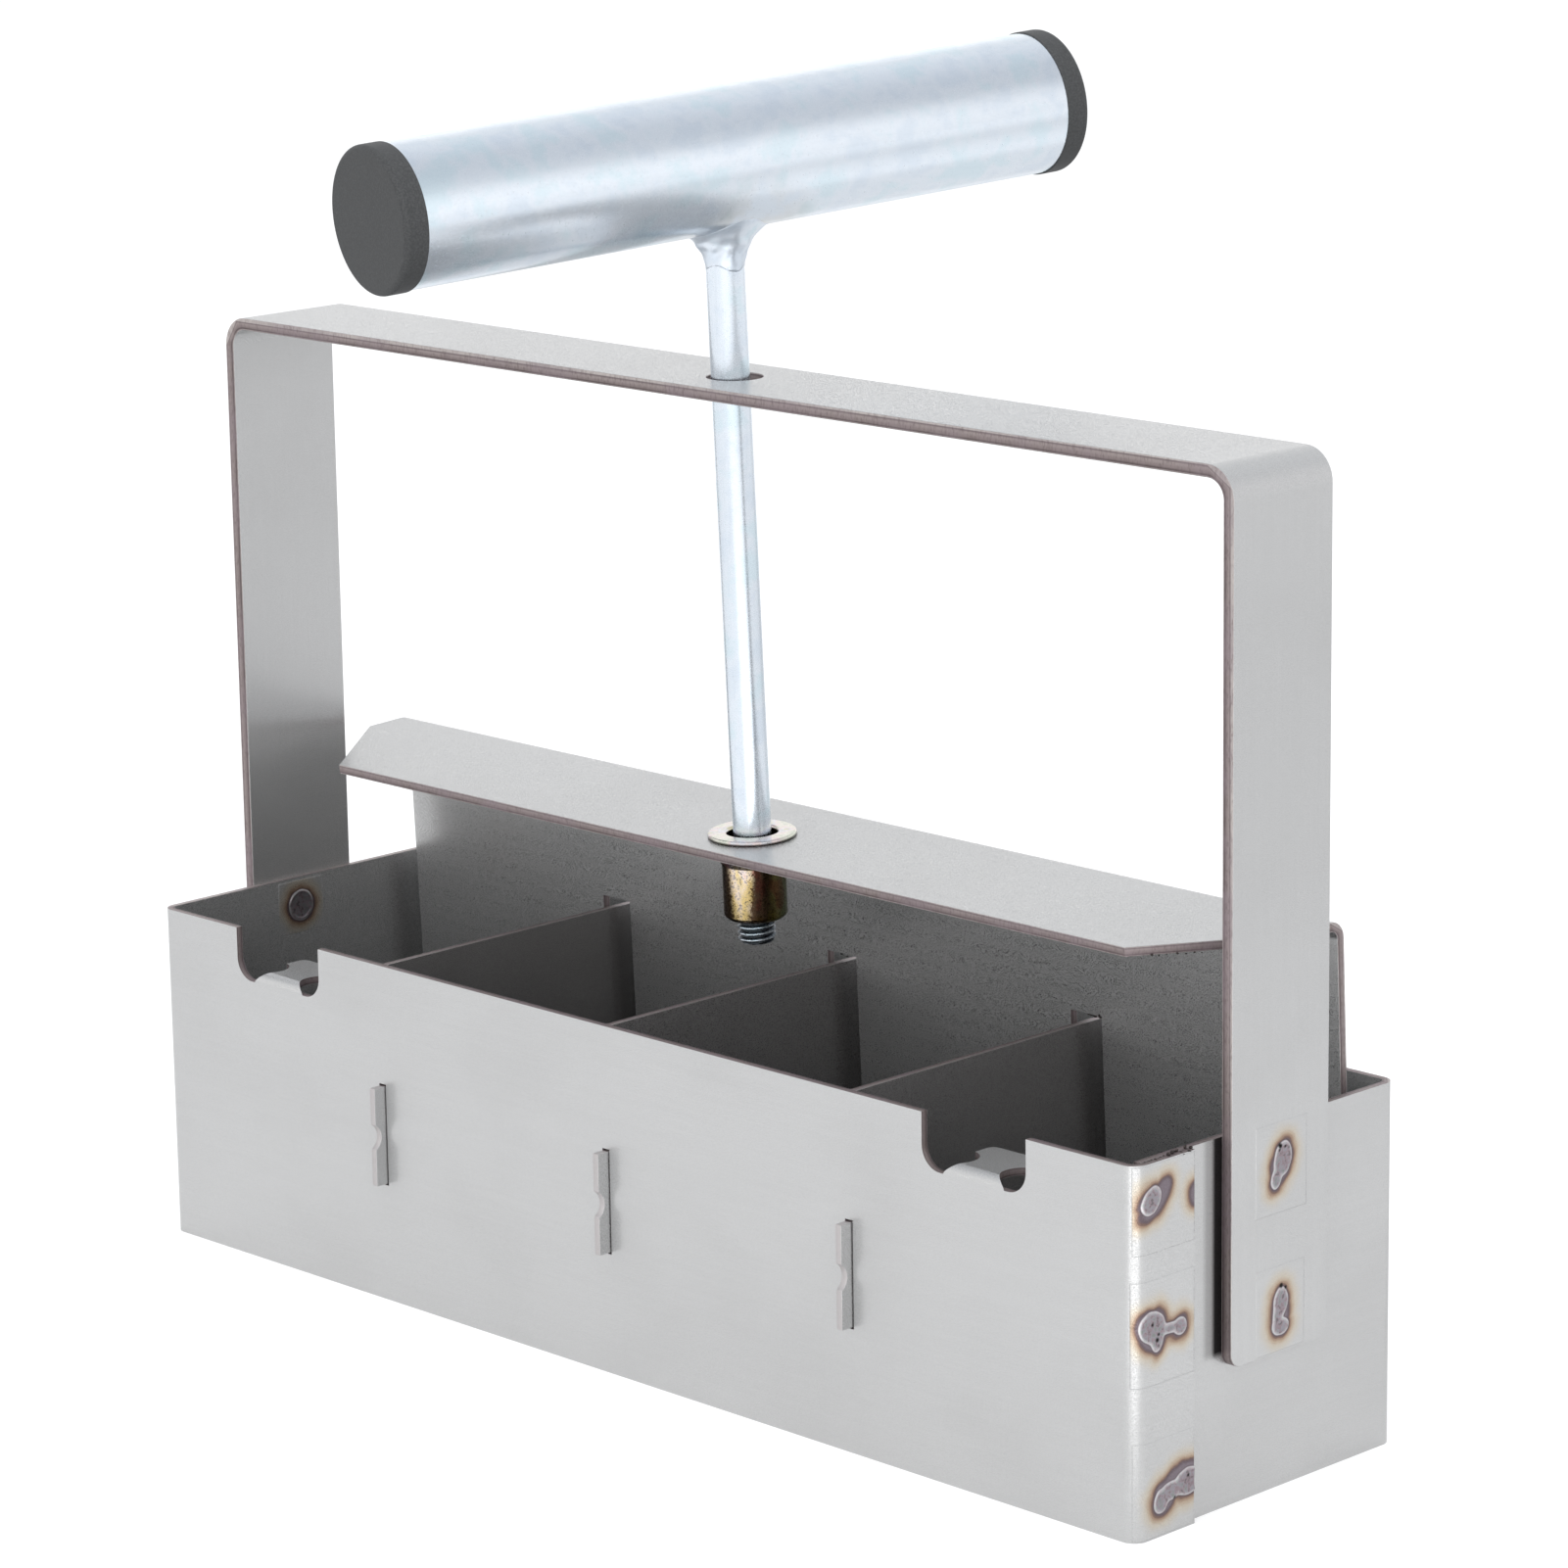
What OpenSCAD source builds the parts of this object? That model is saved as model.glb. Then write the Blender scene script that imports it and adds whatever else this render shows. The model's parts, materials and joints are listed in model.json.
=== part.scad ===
// Four-cell soil blocker: an open sheet-steel mould with a strap bail, and a
// T-handled pusher whose press plates slide up and down inside the cells.
// X runs along the mould, the notched front wall faces -Y, and the mould's
// bottom edges stand on z = 0 under the middle divider.

/* [Mould] */
// Thickness of the mould's sheet and of its dividers
sheet_t = 1.2; // [1:0.1:1.5]
// Length of the mould over its end walls
mould_l = 220; // [212:1:240]
// Depth of the mould over its front and rear walls
mould_w = 60; // [58:0.5:66]
// Height of the mould
mould_h = 57; // [54:0.5:64]
// Outer radius of the bends at the mould's corners
corner_r = 2.5; // [2:0.1:3.5]
// Depth of the flange that laps the right end wall, from the front wall's face
lap_w = 12.9; // [10:0.1:15]
// Distance between the middles of two neighbouring dividers
cell_pitch = 53.6; // [50:0.1:54]

/* [Stop tabs] */
// Distance of each stop tab's middle from the mould's end
stop_inset = 30.5; // [26:0.5:36]
// Width of the notch that a stop tab is cut in
notch_w = 21; // [18:0.5:24]
// Width of a stop tab's free end
stop_w = 12.6; // [10:0.2:14]
// Depth of a stop tab's top face below the mould's rim
stop_depth = 6.9; // [4:0.1:8]
// Reach of a stop tab inwards from the front wall's outer face
stop_reach = 10.9; // [9:0.1:12]
// Outer radius of a stop tab's bend
stop_bend_r = 1.8; // [1.6:0.1:3]
// Radius of the round relief cuts that narrow a stop tab's neck
relief_r = 3.6; // [2.5:0.1:4]

/* [Dividers] */
// Height of a divider's locking tab
tab_h = 16.6; // [10:0.2:20]
// Height of the locking tab's lower edge above the mould's bottom
tab_z = 20.1; // [12:0.1:26]
// Length of the locking tab that stands out of the wall
tab_proud = 2.3; // [1.5:0.1:3]
// Radius of the chisel mark that spreads the locking tab
stake_r = 2.4; // [1.5:0.1:3]
// Depth of the chisel mark
stake_depth = 1.2; // [0.6:0.1:1.6]

/* [Bail] */
// Thickness of the bail's strap
bail_t = 2; // [1.5:0.1:3]
// Width of the bail's strap
bail_w = 21.6; // [18:0.2:28]
// Height of the bail's top above the mould's bottom
bail_h = 155.5; // [145:0.5:170]
// Outer radius of the bail's bends
bail_r = 5; // [3.5:0.1:8]
// Height of the bail's lower ends above the mould's bottom
bail_foot_z = 21.9; // [10:0.1:26]
// Radius of the bail's lower corners
bail_foot_r = 2.2; // [1:0.1:4]

/* [Pusher] */
// Thickness of the pusher's sheet
pusher_t = 1.5; // [1.2:0.1:2]
// Lean of the pusher where it hangs in the mould, in degrees
pusher_lean = 2.4; // [0:0.1:3]
// Height of the pusher's top plate, along the rod from the mould's bottom
plate_z = 81.5; // [78:0.5:90]
// Reach of the top plate in front of the rod's axis
plate_front = 10.5; // [9:0.1:14]
// Gap between the rear panel's lower end and the mould's rear wall
panel_gap = 2.1; // [1:0.1:4]
// Outer radius of the pusher's bends
pusher_r = 3; // [2.5:0.1:4]
// Length of the cut corners along the top plate's front edge
chamfer_x = 16; // [8:0.5:24]
// Depth of the cut corners of the top plate
chamfer_y = 20.5; // [10:0.5:22]
// Gap between the pusher's ends and the mould's end walls
pusher_end_gap = 3.8; // [1.5:0.1:5]
// Width of the slots that straddle the dividers
slot_w = 6.5; // [4:0.1:9]
// Reach of each foot in front of its stud
foot_over = 7.8; // [6:0.1:12]
// Width of each foot
foot_w = 30; // [22:0.5:36]
// Gap all round a press plate in its cell
plate_gap = 0.8; // [0.6:0.05:1.2]
// Corner radius of a press plate
plate_r = 2; // [1:0.1:4]

/* [Dimple studs and their nuts] */
// Diameter of a stud's domed head
stud_head_d = 11; // [9:0.5:14]
// Height of a stud's domed head
stud_head_h = 3; // [2:0.1:3.5]
// Diameter of a stud's thread
stud_d = 5; // [4:0.5:6]
// Width of a stud nut across its flats
stud_nut_af = 8; // [7.5:0.5:10]
// Height of a stud nut
stud_nut_h = 4; // [2.5:0.1:5]

/* [Rod and rivet nut] */
// Diameter of the rod and its thread
rod_d = 6.1; // [5:0.1:6.5]
// Length of the rod's thread that stands out below the rivet nut
rod_over = 4.1; // [1:0.1:8]
// Diameter of the rivet nut's flange
rivet_flange_d = 14.2; // [13:0.1:16]
// Thickness of the rivet nut's flange
rivet_flange_t = 0.8; // [0.6:0.1:1.5]
// Diameter of the rivet nut's barrel
rivet_d = 10.2; // [9.5:0.1:11]
// Length of the rivet nut's barrel below the top plate
rivet_l = 11.9; // [9:0.1:13]
// Diameter of the fold that clamps the rivet nut under the plate
rivet_fold_d = 12.2; // [11.2:0.1:13]
// Diameter of the rivet nut's thin-walled upper bore, above its thread
rivet_bore_d = 8.2; // [7:0.1:8.8]
// Depth of that upper bore from the flange's top
rivet_bore_l = 5; // [3:0.1:7]

/* [Handle] */
// Outer diameter of the handle tube
tube_d = 22.4; // [20:0.1:25]
// Wall of the handle tube
tube_t = 1.5; // [1:0.1:2]
// Length of the handle tube without its end caps
tube_l = 116.6; // [100:0.2:130]
// Height of the tube's axis, along the rod from the mould's bottom
tube_z = 189.7; // [184:0.1:215]
// Turn of the handle from square across the mould, in degrees
handle_turn = 11.3; // [0:0.1:90]
// Dip of the handle's front end from square to the rod, in degrees
handle_dip = 1.7; // [0:0.1:3]
// Diameter of an end cap's head
cap_d = 22.8; // [22.4:0.1:25.5]
// Thickness of an end cap's head
cap_t = 4; // [3:0.1:6]
// Radius round an end cap's face
cap_r = 0.9; // [0.5:0.1:1.5]
// Length of an end cap's plug inside the tube
cap_plug_l = 10; // [6:0.5:16]

/* [Hidden] */
$fn = 72;
// One overrun for every cut
cut = 1;
// Gap between the lapped flange and the end wall behind it
lap_gap = 0.1;
// Gaps of a locking tab in its slot, along the wall and up and down
tab_side_gap = 0.2;
tab_end_gap = 0.3;
// Gap between a divider's edges and the walls
divider_gap = 0.05;
// Gap between the studs and the surface below at the bottom of the travel
rest_gap = 0.4;
// Gap between the pusher's slots and the dividers there, for the burrs of the cut
slot_gap = 1.2;
// Radius of a stop tab's free corners
stop_corner_r = 1.2;
// Gap left between the press plates and the stop tabs at the top of the travel
stop_gap = 0.4;
// Gap left round the rod where it sways in the bail's hole
guide_gap = 0.5;
// Gap between the rod's thread and the rivet nut, and of a stud in its nut
thread_gap = 0.05;
// Clearance of a stud in the holes of its foot and press plate
stud_hole_gap = 0.15;
// Gap of an end cap's plug in the tube
cap_gap = 0.03;
// Wall of an end cap's hollow plug
cap_wall = 1.6;
// Length of the chamfers on the rod's end, the studs and the rivet nut
end_chamfer = 0.6;
// Length of stud that stands above its nut
stud_over = 1.5;
// Height of the fold that clamps the rivet nut, and the radius and the
// chamfer of its flange's outer and inner edge
rivet_fold_h = 3;
rivet_edge_r = 0.4;
rivet_edge = 0.3;
// Proud height of the weld spots, and the sizes of the bail's ones
weld_h = 0.3;
bail_weld_w = 4.2;
bail_weld_l = 7.2;
inner_weld_d = 5.6;
// Heights of the bail's two weld spots above the mould's bottom
bail_weld_low_z = 28.4;
bail_weld_high_z = 50.8;
// Offset of the round spots inside the end walls from the outer ones, to the
// front and up
inner_weld_y = 1.4;
inner_weld_z = 1.2;
// Lean of the bail's outer weld spots, in degrees
bail_weld_lean = 8;
// Diameter of the flange's middle weld spot. The shares place each spot on the
// flange's width and the mould's height, and give its share of that diameter.
lap_weld_d = 5.4;
lap_weld_shares = [[0.33, 0.9, 0.64], [0.47, 0.55, 1], [0.73, 0.1, 0.86]];
// Height and top radius of the weld between the rod and the tube
handle_weld_h = 4;
handle_weld_r = 6.2;
// Depth that the rod's end stands inside the tube
rod_inside = 1.5;

rod_r = rod_d / 2;
tube_r = tube_d / 2;
divider_xs = [-cell_pitch, 0, cell_pitch];
inner_l = mould_l - 2 * sheet_t;
inner_w = mould_w - 2 * sheet_t;
lap_face_x = mould_l / 2 + lap_gap + sheet_t;

// The rod leans about the point where it passes the bail's hole. These two
// turn a place in the mould into the pusher's own upright frame.
guide_z = bail_h;
function hung_y(y, z) = y * cos(pusher_lean) + (z - guide_z) * sin(pusher_lean);
function hung_z(y, z) = guide_z - y * sin(pusher_lean) + (z - guide_z) * cos(pusher_lean);
// This one gives the height in the mould of a place in the pusher's frame
function world_z(y, z) = guide_z + y * sin(pusher_lean) + (z - guide_z) * cos(pusher_lean);

// Cells: the ends of each one's clear length, and its middle
cell_ends = [for (i = [0:3]) [
    i == 0 ? -inner_l / 2 : divider_xs[i - 1] + sheet_t / 2,
    i == 3 ? inner_l / 2 : divider_xs[i] - sheet_t / 2]];
function cell_x(i) = (cell_ends[i][0] + cell_ends[i][1]) / 2;
function cell_l(i) = cell_ends[i][1] - cell_ends[i][0];

// Pusher's own frame: heights from the stud heads up, and places along Y
stud_y = hung_y(0, rest_gap);
stud_tip_z = hung_z(0, rest_gap);
press_z = stud_tip_z + stud_head_h;
foot_z = press_z + pusher_t;
foot_top_z = foot_z + pusher_t;
leg_end_z = foot_z + pusher_r;
press_w = (inner_w - 2 * plate_gap) * cos(pusher_lean);
panel_back = hung_y(inner_w / 2 - panel_gap, rest_gap);
panel_front = panel_back - pusher_t;
foot_l = panel_front - stud_y + foot_over;
pusher_l = inner_l - 2 * pusher_end_gap;
divider_clear_z = mould_h + slot_gap;
panel_lean_y = (panel_front - (divider_clear_z - guide_z) * sin(pusher_lean)) / cos(pusher_lean);
slot_top_z = hung_z(panel_lean_y, divider_clear_z);
tube_bottom_z = tube_z - tube_r;
stud_r = stud_d / 2;
stud_hole_r = stud_r + stud_hole_gap;
rod_end_z = plate_z - pusher_t - rivet_l - rod_over;

// Places of the stop tabs and their reliefs. The tab is narrowest where the
// round reliefs reach furthest into the bent sheet.
stop_x = mould_l / 2 - stop_inset;
stop_base_z = mould_h - stop_depth - stop_bend_r;
relief_x = notch_w / 2 - relief_r;
stop_bend_l = (stop_bend_r - sheet_t / 2) * PI / 2;
relief_y = stop_bend_r + relief_r - stop_bend_l - mould_w / 2;

// Travel, from the slots on the dividers to the press plates' front edges
// under the stop tabs
stop_z = mould_h - stop_depth - sheet_t;
lift = stop_z - stop_gap - world_z(stud_y - press_w / 2, foot_z);

// The bail sits over the middle of the rod's sway, and its hole clears it
rod_sway = lift * tan(pusher_lean) / 2;
bail_y = rod_sway;
guide_r = rod_r + rod_sway + guide_gap;

// Rectangle about the origin with round corners
module round_rect(l, w, r) {
    square([l - 2 * r, w], center = true);
    square([l, w - 2 * r], center = true);
    for (sx = [-1, 1], sy = [-1, 1])
        translate([sx * (l / 2 - r), sy * (w / 2 - r)])
            circle(r);
}

// Quarter of a bent sheet about the origin, in the +X +Y corner
module quarter_bend(r_out, t) {
    intersection() {
        difference() {
            circle(r_out);
            circle(r_out - t);
        }
        square(r_out);
    }
}

// Puts a profile drawn in Y and Z across the length, from x = 0
module along_x(l) {
    rotate([90, 0, 90])
        linear_extrude(l)
            children();
}

// Puts a profile drawn in X and Z through a depth, towards +Y from y = 0
module along_y(l) {
    translate([0, l, 0])
        rotate([90, 0, 0])
            linear_extrude(l)
                children();
}

// Puts the pusher's upright frame into the mould with its lean
module hung() {
    translate([0, 0, guide_z])
        rotate([pusher_lean, 0, 0])
            translate([0, 0, -guide_z])
                children();
}

// Plan of the bent shell. Its front wall ends in a flange outside the right
// end wall, which closes the loop.
module shell_plan() {
    lap_corner = [lap_face_x - corner_r, -mould_w / 2 + corner_r];
    difference() {
        round_rect(mould_l, mould_w, corner_r);
        round_rect(inner_l, inner_w, corner_r - sheet_t);
        translate([mould_l / 2 - corner_r, -mould_w / 2 - cut])
            square([corner_r + cut, corner_r + cut]);
    }
    translate([mould_l / 2 - 2 * corner_r, -mould_w / 2])
        square([lap_corner[0] - mould_l / 2 + 2 * corner_r, sheet_t]);
    translate(lap_corner)
        mirror([0, 1])
            quarter_bend(corner_r, sheet_t);
    translate([lap_face_x - sheet_t, lap_corner[1]])
        square([sheet_t, lap_w - corner_r]);
}

// Notch in the rim, about the stop tab's middle and up from its bend
module notch_profile() {
    top = stop_depth + stop_bend_r + cut;
    translate([-relief_x, stop_base_z])
        square([2 * relief_x, top]);
    translate([-notch_w / 2, stop_base_z + relief_r])
        square([notch_w, top - relief_r]);
    for (s = [-1, 1])
        translate([s * relief_x, stop_base_z + relief_r])
            circle(relief_r);
}

// Stop tab: bent in from the front wall, level, under the notch. Its root
// runs down into the wall.
module stop_tab() {
    root_w = max(2 * relief_x, stop_w);
    difference() {
        intersection() {
            translate([-root_w / 2, 0, 0])
                along_x(root_w)
                    translate([-mould_w / 2 + stop_bend_r, stop_base_z]) {
                        translate([-stop_bend_r, -stop_bend_r])
                            square([sheet_t, stop_bend_r]);
                        mirror([1, 0])
                            quarter_bend(stop_bend_r, sheet_t);
                        translate([0, stop_bend_r - sheet_t])
                            square([stop_reach - stop_bend_r, sheet_t]);
                    }
            linear_extrude(mould_h) {
                translate([-relief_x, -mould_w / 2 - cut])
                    square([2 * relief_x, relief_y + mould_w / 2 + cut]);
                translate([0, -mould_w / 2 + stop_reach / 2])
                    round_rect(stop_w, stop_reach, stop_corner_r);
            }
        }
        for (s = [-1, 1])
            translate([s * relief_x, relief_y, stop_base_z])
                cylinder(r = relief_r, h = stop_depth);
    }
}

module mould_shell() {
    slot_h = tab_h + 2 * tab_end_gap;
    slot_side = sheet_t + 2 * tab_side_gap;
    color("gainsboro") {
        difference() {
            linear_extrude(mould_h)
                shell_plan();
            for (s = [-1, 1])
                translate([s * stop_x, -mould_w / 2 - cut, 0])
                    along_y(sheet_t + 2 * cut)
                        notch_profile();
            for (x = divider_xs)
                translate([x - slot_side / 2, -mould_w / 2 - cut, tab_z - tab_end_gap])
                    cube([slot_side, mould_w + 2 * cut, slot_h]);
        }
        for (s = [-1, 1])
            translate([s * stop_x, 0, 0])
                stop_tab();
    }
}

// Divider: fills the depth between the walls. A locking tab at each end goes
// through its slot and is spread by a chisel mark in its middle.
module divider(x) {
    plate_w = inner_w - 2 * divider_gap;
    tab_w = mould_w + 2 * tab_proud;
    translate([x - sheet_t / 2, 0, 0])
        along_x(sheet_t)
            difference() {
                union() {
                    translate([-plate_w / 2, 0])
                        square([plate_w, mould_h]);
                    translate([-tab_w / 2, tab_z])
                        square([tab_w, tab_h]);
                }
                for (s = [-1, 1])
                    translate([s * (tab_w / 2 + stake_r - stake_depth), tab_z + tab_h / 2])
                        circle(stake_r);
            }
}

module divider_left() {
    color("silver")
        divider(divider_xs[0]);
}

module divider_middle() {
    color("silver")
        divider(divider_xs[1]);
}

module divider_right() {
    color("silver")
        divider(divider_xs[2]);
}

// Half-open outline with its two upper corners round
module arch_profile(w, h, r) {
    translate([-w / 2, 0])
        square([w, h - r]);
    translate([-w / 2 + r, 0])
        square([w - 2 * r, h]);
    for (s = [-1, 1])
        translate([s * (w / 2 - r), h - r])
            circle(r);
}

// The bail is a flat strap bent to a U: the bends seen from the front, met by
// the strap's outline seen from the end
module bail() {
    outer_w = mould_l + 2 * bail_t;
    color("lightgray")
        difference() {
            intersection() {
                translate([0, bail_y - bail_w / 2 - cut, 0])
                    along_y(bail_w + 2 * cut)
                        difference() {
                            arch_profile(outer_w, bail_h, bail_r);
                            arch_profile(mould_l, bail_h - bail_t, bail_r - bail_t);
                        }
                translate([-outer_w / 2 - cut, bail_y, bail_h + cut])
                    along_x(outer_w + 2 * cut)
                        mirror([0, 1])
                            arch_profile(bail_w, bail_h + cut - bail_foot_z, bail_foot_r);
            }
            translate([0, bail_y, bail_h - bail_t - cut])
                cylinder(r = guide_r, h = bail_t + 2 * cut);
        }
}

// Long round-ended outline of a weld spot
module bead_profile(w, l) {
    square([w, l - w], center = true);
    for (s = [-1, 1])
        translate([0, s * (l - w) / 2])
            circle(w / 2);
}

module corner_welds() {
    color("slategray")
        for (s = lap_weld_shares)
            translate([lap_face_x, -mould_w / 2 + s[0] * lap_w, s[1] * mould_h])
                rotate([0, 90, 0])
                    cylinder(d1 = s[2] * lap_weld_d, d2 = s[2] * lap_weld_d - 2 * weld_h, h = weld_h);
}

// Weld spots of one leg of the bail: long ones outside it, round ones inside
// the end wall. They are drawn for the right end.
module bail_welds() {
    for (z = [bail_weld_low_z, bail_weld_high_z]) {
        translate([mould_l / 2 + bail_t, bail_y, z])
            rotate([bail_weld_lean, 0, 0])
                along_x(weld_h)
                    bead_profile(bail_weld_w, bail_weld_l);
        translate([inner_l / 2 - weld_h, bail_y - inner_weld_y, z + inner_weld_z])
            rotate([0, 90, 0])
                cylinder(d1 = inner_weld_d - 2 * weld_h, d2 = inner_weld_d, h = weld_h);
    }
}

module bail_welds_right() {
    color("slategray")
        bail_welds();
}

module bail_welds_left() {
    color("slategray")
        mirror([1, 0, 0])
            bail_welds();
}

// Side view of the pusher's sheet: top plate, rear panel and feet
module pusher_profile() {
    translate([-plate_front, plate_z - pusher_t])
        square([plate_front + panel_back - pusher_r, pusher_t]);
    translate([panel_back - pusher_r, plate_z - pusher_r])
        quarter_bend(pusher_r, pusher_t);
    translate([panel_front, foot_z + pusher_r])
        square([pusher_t, plate_z - foot_z - 2 * pusher_r]);
    translate([panel_back - pusher_r, foot_z + pusher_r])
        mirror([0, 1])
            quarter_bend(pusher_r, pusher_t);
    translate([panel_front - foot_l, foot_z])
        square([foot_l + pusher_t - pusher_r, pusher_t]);
}

// The pusher is one sheet: plate, panel slotted over the dividers, four feet
module pusher_frame() {
    foot_cut_w = foot_l + pusher_r + pusher_t;
    foot_edges = concat([-pusher_l / 2 - cut],
        [for (i = [0:3]) each [cell_x(i) - foot_w / 2, cell_x(i) + foot_w / 2]],
        [pusher_l / 2 + cut]);
    color("gainsboro")
        hung()
            difference() {
                translate([-pusher_l / 2, 0, 0])
                    along_x(pusher_l)
                        pusher_profile();
                for (x = divider_xs)
                    translate([x - slot_w / 2, panel_front - cut, 0])
                        cube([slot_w, pusher_t + 2 * cut, slot_top_z]);
                for (i = [0:2:8])
                    translate([foot_edges[i], panel_back + cut - foot_cut_w, 0])
                        cube([foot_edges[i + 1] - foot_edges[i], foot_cut_w, leg_end_z]);
                for (s = [0, 1])
                    mirror([s, 0, 0])
                        translate([pusher_l / 2, -plate_front, plate_z - pusher_t - cut])
                            linear_extrude(pusher_t + 2 * cut)
                                polygon([[-chamfer_x, 0], [-chamfer_x, -cut], [cut, -cut],
                                    [cut, chamfer_y], [0, chamfer_y]]);
                translate([0, 0, plate_z - pusher_t - cut])
                    cylinder(r = rivet_d / 2, h = pusher_t + 2 * cut);
                for (i = [0:3])
                    translate([cell_x(i), stud_y, foot_z - cut])
                        cylinder(r = stud_hole_r, h = pusher_t + 2 * cut);
            }
}

// Rivet nut: thin flange on the plate, a barrel below it that is folded out
// under the sheet, and a thread in the barrel's lower part
module rivet_nut() {
    under_z = plate_z - pusher_t;
    low_z = under_z - rivet_l;
    top_z = plate_z + rivet_flange_t;
    color("khaki")
        hung()
            difference() {
                union() {
                    translate([0, 0, plate_z])
                        rotate_extrude() {
                            square([rivet_flange_d / 2 - rivet_edge_r, rivet_flange_t]);
                            square([rivet_flange_d / 2, rivet_flange_t - rivet_edge_r]);
                            translate([rivet_flange_d / 2 - rivet_edge_r, rivet_flange_t - rivet_edge_r])
                                circle(rivet_edge_r);
                        }
                    translate([0, 0, low_z + end_chamfer])
                        cylinder(d = rivet_d, h = rivet_l - end_chamfer + pusher_t);
                    translate([0, 0, low_z])
                        cylinder(d1 = rivet_d - 2 * end_chamfer, d2 = rivet_d, h = end_chamfer);
                    translate([0, 0, under_z - rivet_fold_h / 2])
                        cylinder(d = rivet_fold_d, h = rivet_fold_h / 2);
                    translate([0, 0, under_z - rivet_fold_h])
                        cylinder(d1 = rivet_d, d2 = rivet_fold_d, h = rivet_fold_h / 2);
                }
                translate([0, 0, low_z - cut])
                    cylinder(r = rod_r + thread_gap, h = rivet_l + pusher_t + 2 * cut);
                translate([0, 0, top_z - rivet_bore_l])
                    cylinder(d = rivet_bore_d, h = rivet_bore_l + cut);
                translate([0, 0, top_z - rivet_edge])
                    cylinder(d1 = rivet_bore_d, d2 = rivet_bore_d + 2 * rivet_edge, h = rivet_edge);
            }
}

module press_plate(i) {
    color("silver")
        hung()
            translate([cell_x(i), stud_y, press_z])
                linear_extrude(pusher_t)
                    difference() {
                        round_rect(cell_l(i) - 2 * plate_gap, press_w, plate_r);
                        circle(stud_hole_r);
                    }
}

// Dimple stud: domed head under the press plate and a thread up through it
module dimple_stud(i) {
    dome_r = (stud_head_d * stud_head_d / 4 + stud_head_h * stud_head_h) / (2 * stud_head_h);
    shank_l = 2 * pusher_t + stud_nut_h + stud_over;
    color("lightsteelblue")
        hung()
            translate([cell_x(i), stud_y, press_z]) {
                rotate_extrude()
                    intersection() {
                        translate([0, dome_r - stud_head_h])
                            circle(dome_r);
                        translate([0, -stud_head_h])
                            square([stud_head_d / 2, stud_head_h]);
                    }
                cylinder(r = stud_r - thread_gap, h = shank_l - end_chamfer);
                translate([0, 0, shank_l - end_chamfer])
                    cylinder(r1 = stud_r - thread_gap, r2 = stud_r - end_chamfer, h = end_chamfer);
            }
}

module stud_nut(i) {
    color("lightsteelblue")
        hung()
            translate([cell_x(i), stud_y, foot_top_z])
                difference() {
                    cylinder(r = stud_nut_af / 2 / cos(30), h = stud_nut_h, $fn = 6);
                    translate([0, 0, -cut])
                        cylinder(r = stud_r, h = stud_nut_h + 2 * cut);
                }
}

module handle_rod() {
    rod_top_z = tube_bottom_z + tube_t + rod_inside;
    color("lightsteelblue")
        hung() {
            translate([0, 0, rod_end_z])
                cylinder(r1 = rod_r - end_chamfer, r2 = rod_r, h = end_chamfer);
            translate([0, 0, rod_end_z + end_chamfer])
                cylinder(r = rod_r, h = rod_top_z - rod_end_z - end_chamfer);
        }
}

// Lays a piece drawn along Z on the tube's axis, which crosses the rod
module across_handle() {
    hung()
        translate([0, 0, tube_z])
            rotate([90 + handle_dip, 0, -handle_turn])
                children();
}

module handle_tube() {
    color("lightsteelblue")
        difference() {
            across_handle()
                difference() {
                    cylinder(r = tube_r, h = tube_l, center = true);
                    cylinder(r = tube_r - tube_t, h = tube_l + 2 * cut, center = true);
                }
            hung()
                translate([0, 0, tube_bottom_z - cut])
                    cylinder(r = rod_r + thread_gap, h = tube_t + 2 * cut);
        }
}

// Weld collar: flares from the rod to the tube's underside
module handle_weld() {
    color("slategray")
        difference() {
            hung()
                translate([0, 0, tube_bottom_z - handle_weld_h])
                    difference() {
                        cylinder(r1 = rod_r + thread_gap, r2 = handle_weld_r, h = 2 * handle_weld_h);
                        translate([0, 0, -cut])
                            cylinder(r = rod_r, h = 2 * handle_weld_h + 2 * cut);
                    }
            across_handle()
                cylinder(r = tube_r, h = 2 * tube_r, center = true);
        }
}

// End cap: round-edged head against the tube's end and a hollow plug in it
module end_cap() {
    cap_head_r = cap_d / 2;
    plug_r = tube_r - tube_t - cap_gap;
    translate([0, 0, tube_l / 2]) {
        rotate_extrude() {
            square([cap_head_r, cap_t - cap_r]);
            square([cap_head_r - cap_r, cap_t]);
            translate([cap_head_r - cap_r, cap_t - cap_r])
                circle(cap_r);
        }
        translate([0, 0, -cap_plug_l])
            difference() {
                cylinder(r = plug_r, h = cap_plug_l);
                translate([0, 0, -cut])
                    cylinder(r = plug_r - cap_wall, h = cap_plug_l + cut);
            }
    }
}

module end_cap_front() {
    color("dimgray")
        across_handle()
            end_cap();
}

module end_cap_rear() {
    color("dimgray")
        across_handle()
            mirror([0, 0, 1])
                end_cap();
}

mould_shell();
divider_left();
divider_middle();
divider_right();
bail();
corner_welds();
bail_welds_left();
bail_welds_right();
pusher_frame();
rivet_nut();
for (i = [0:3])
    press_plate(i);
for (i = [0:3])
    dimple_stud(i);
for (i = [0:3])
    stud_nut(i);
handle_rod();
handle_tube();
handle_weld();
end_cap_front();
end_cap_rear();
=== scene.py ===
"""Dresses a hand soil blocker: rolled stainless sheet, spot welds, zinc handle and studio."""

import json
import math

import bmesh
import bpy
from mathutils import Matrix, Vector, noise

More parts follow.
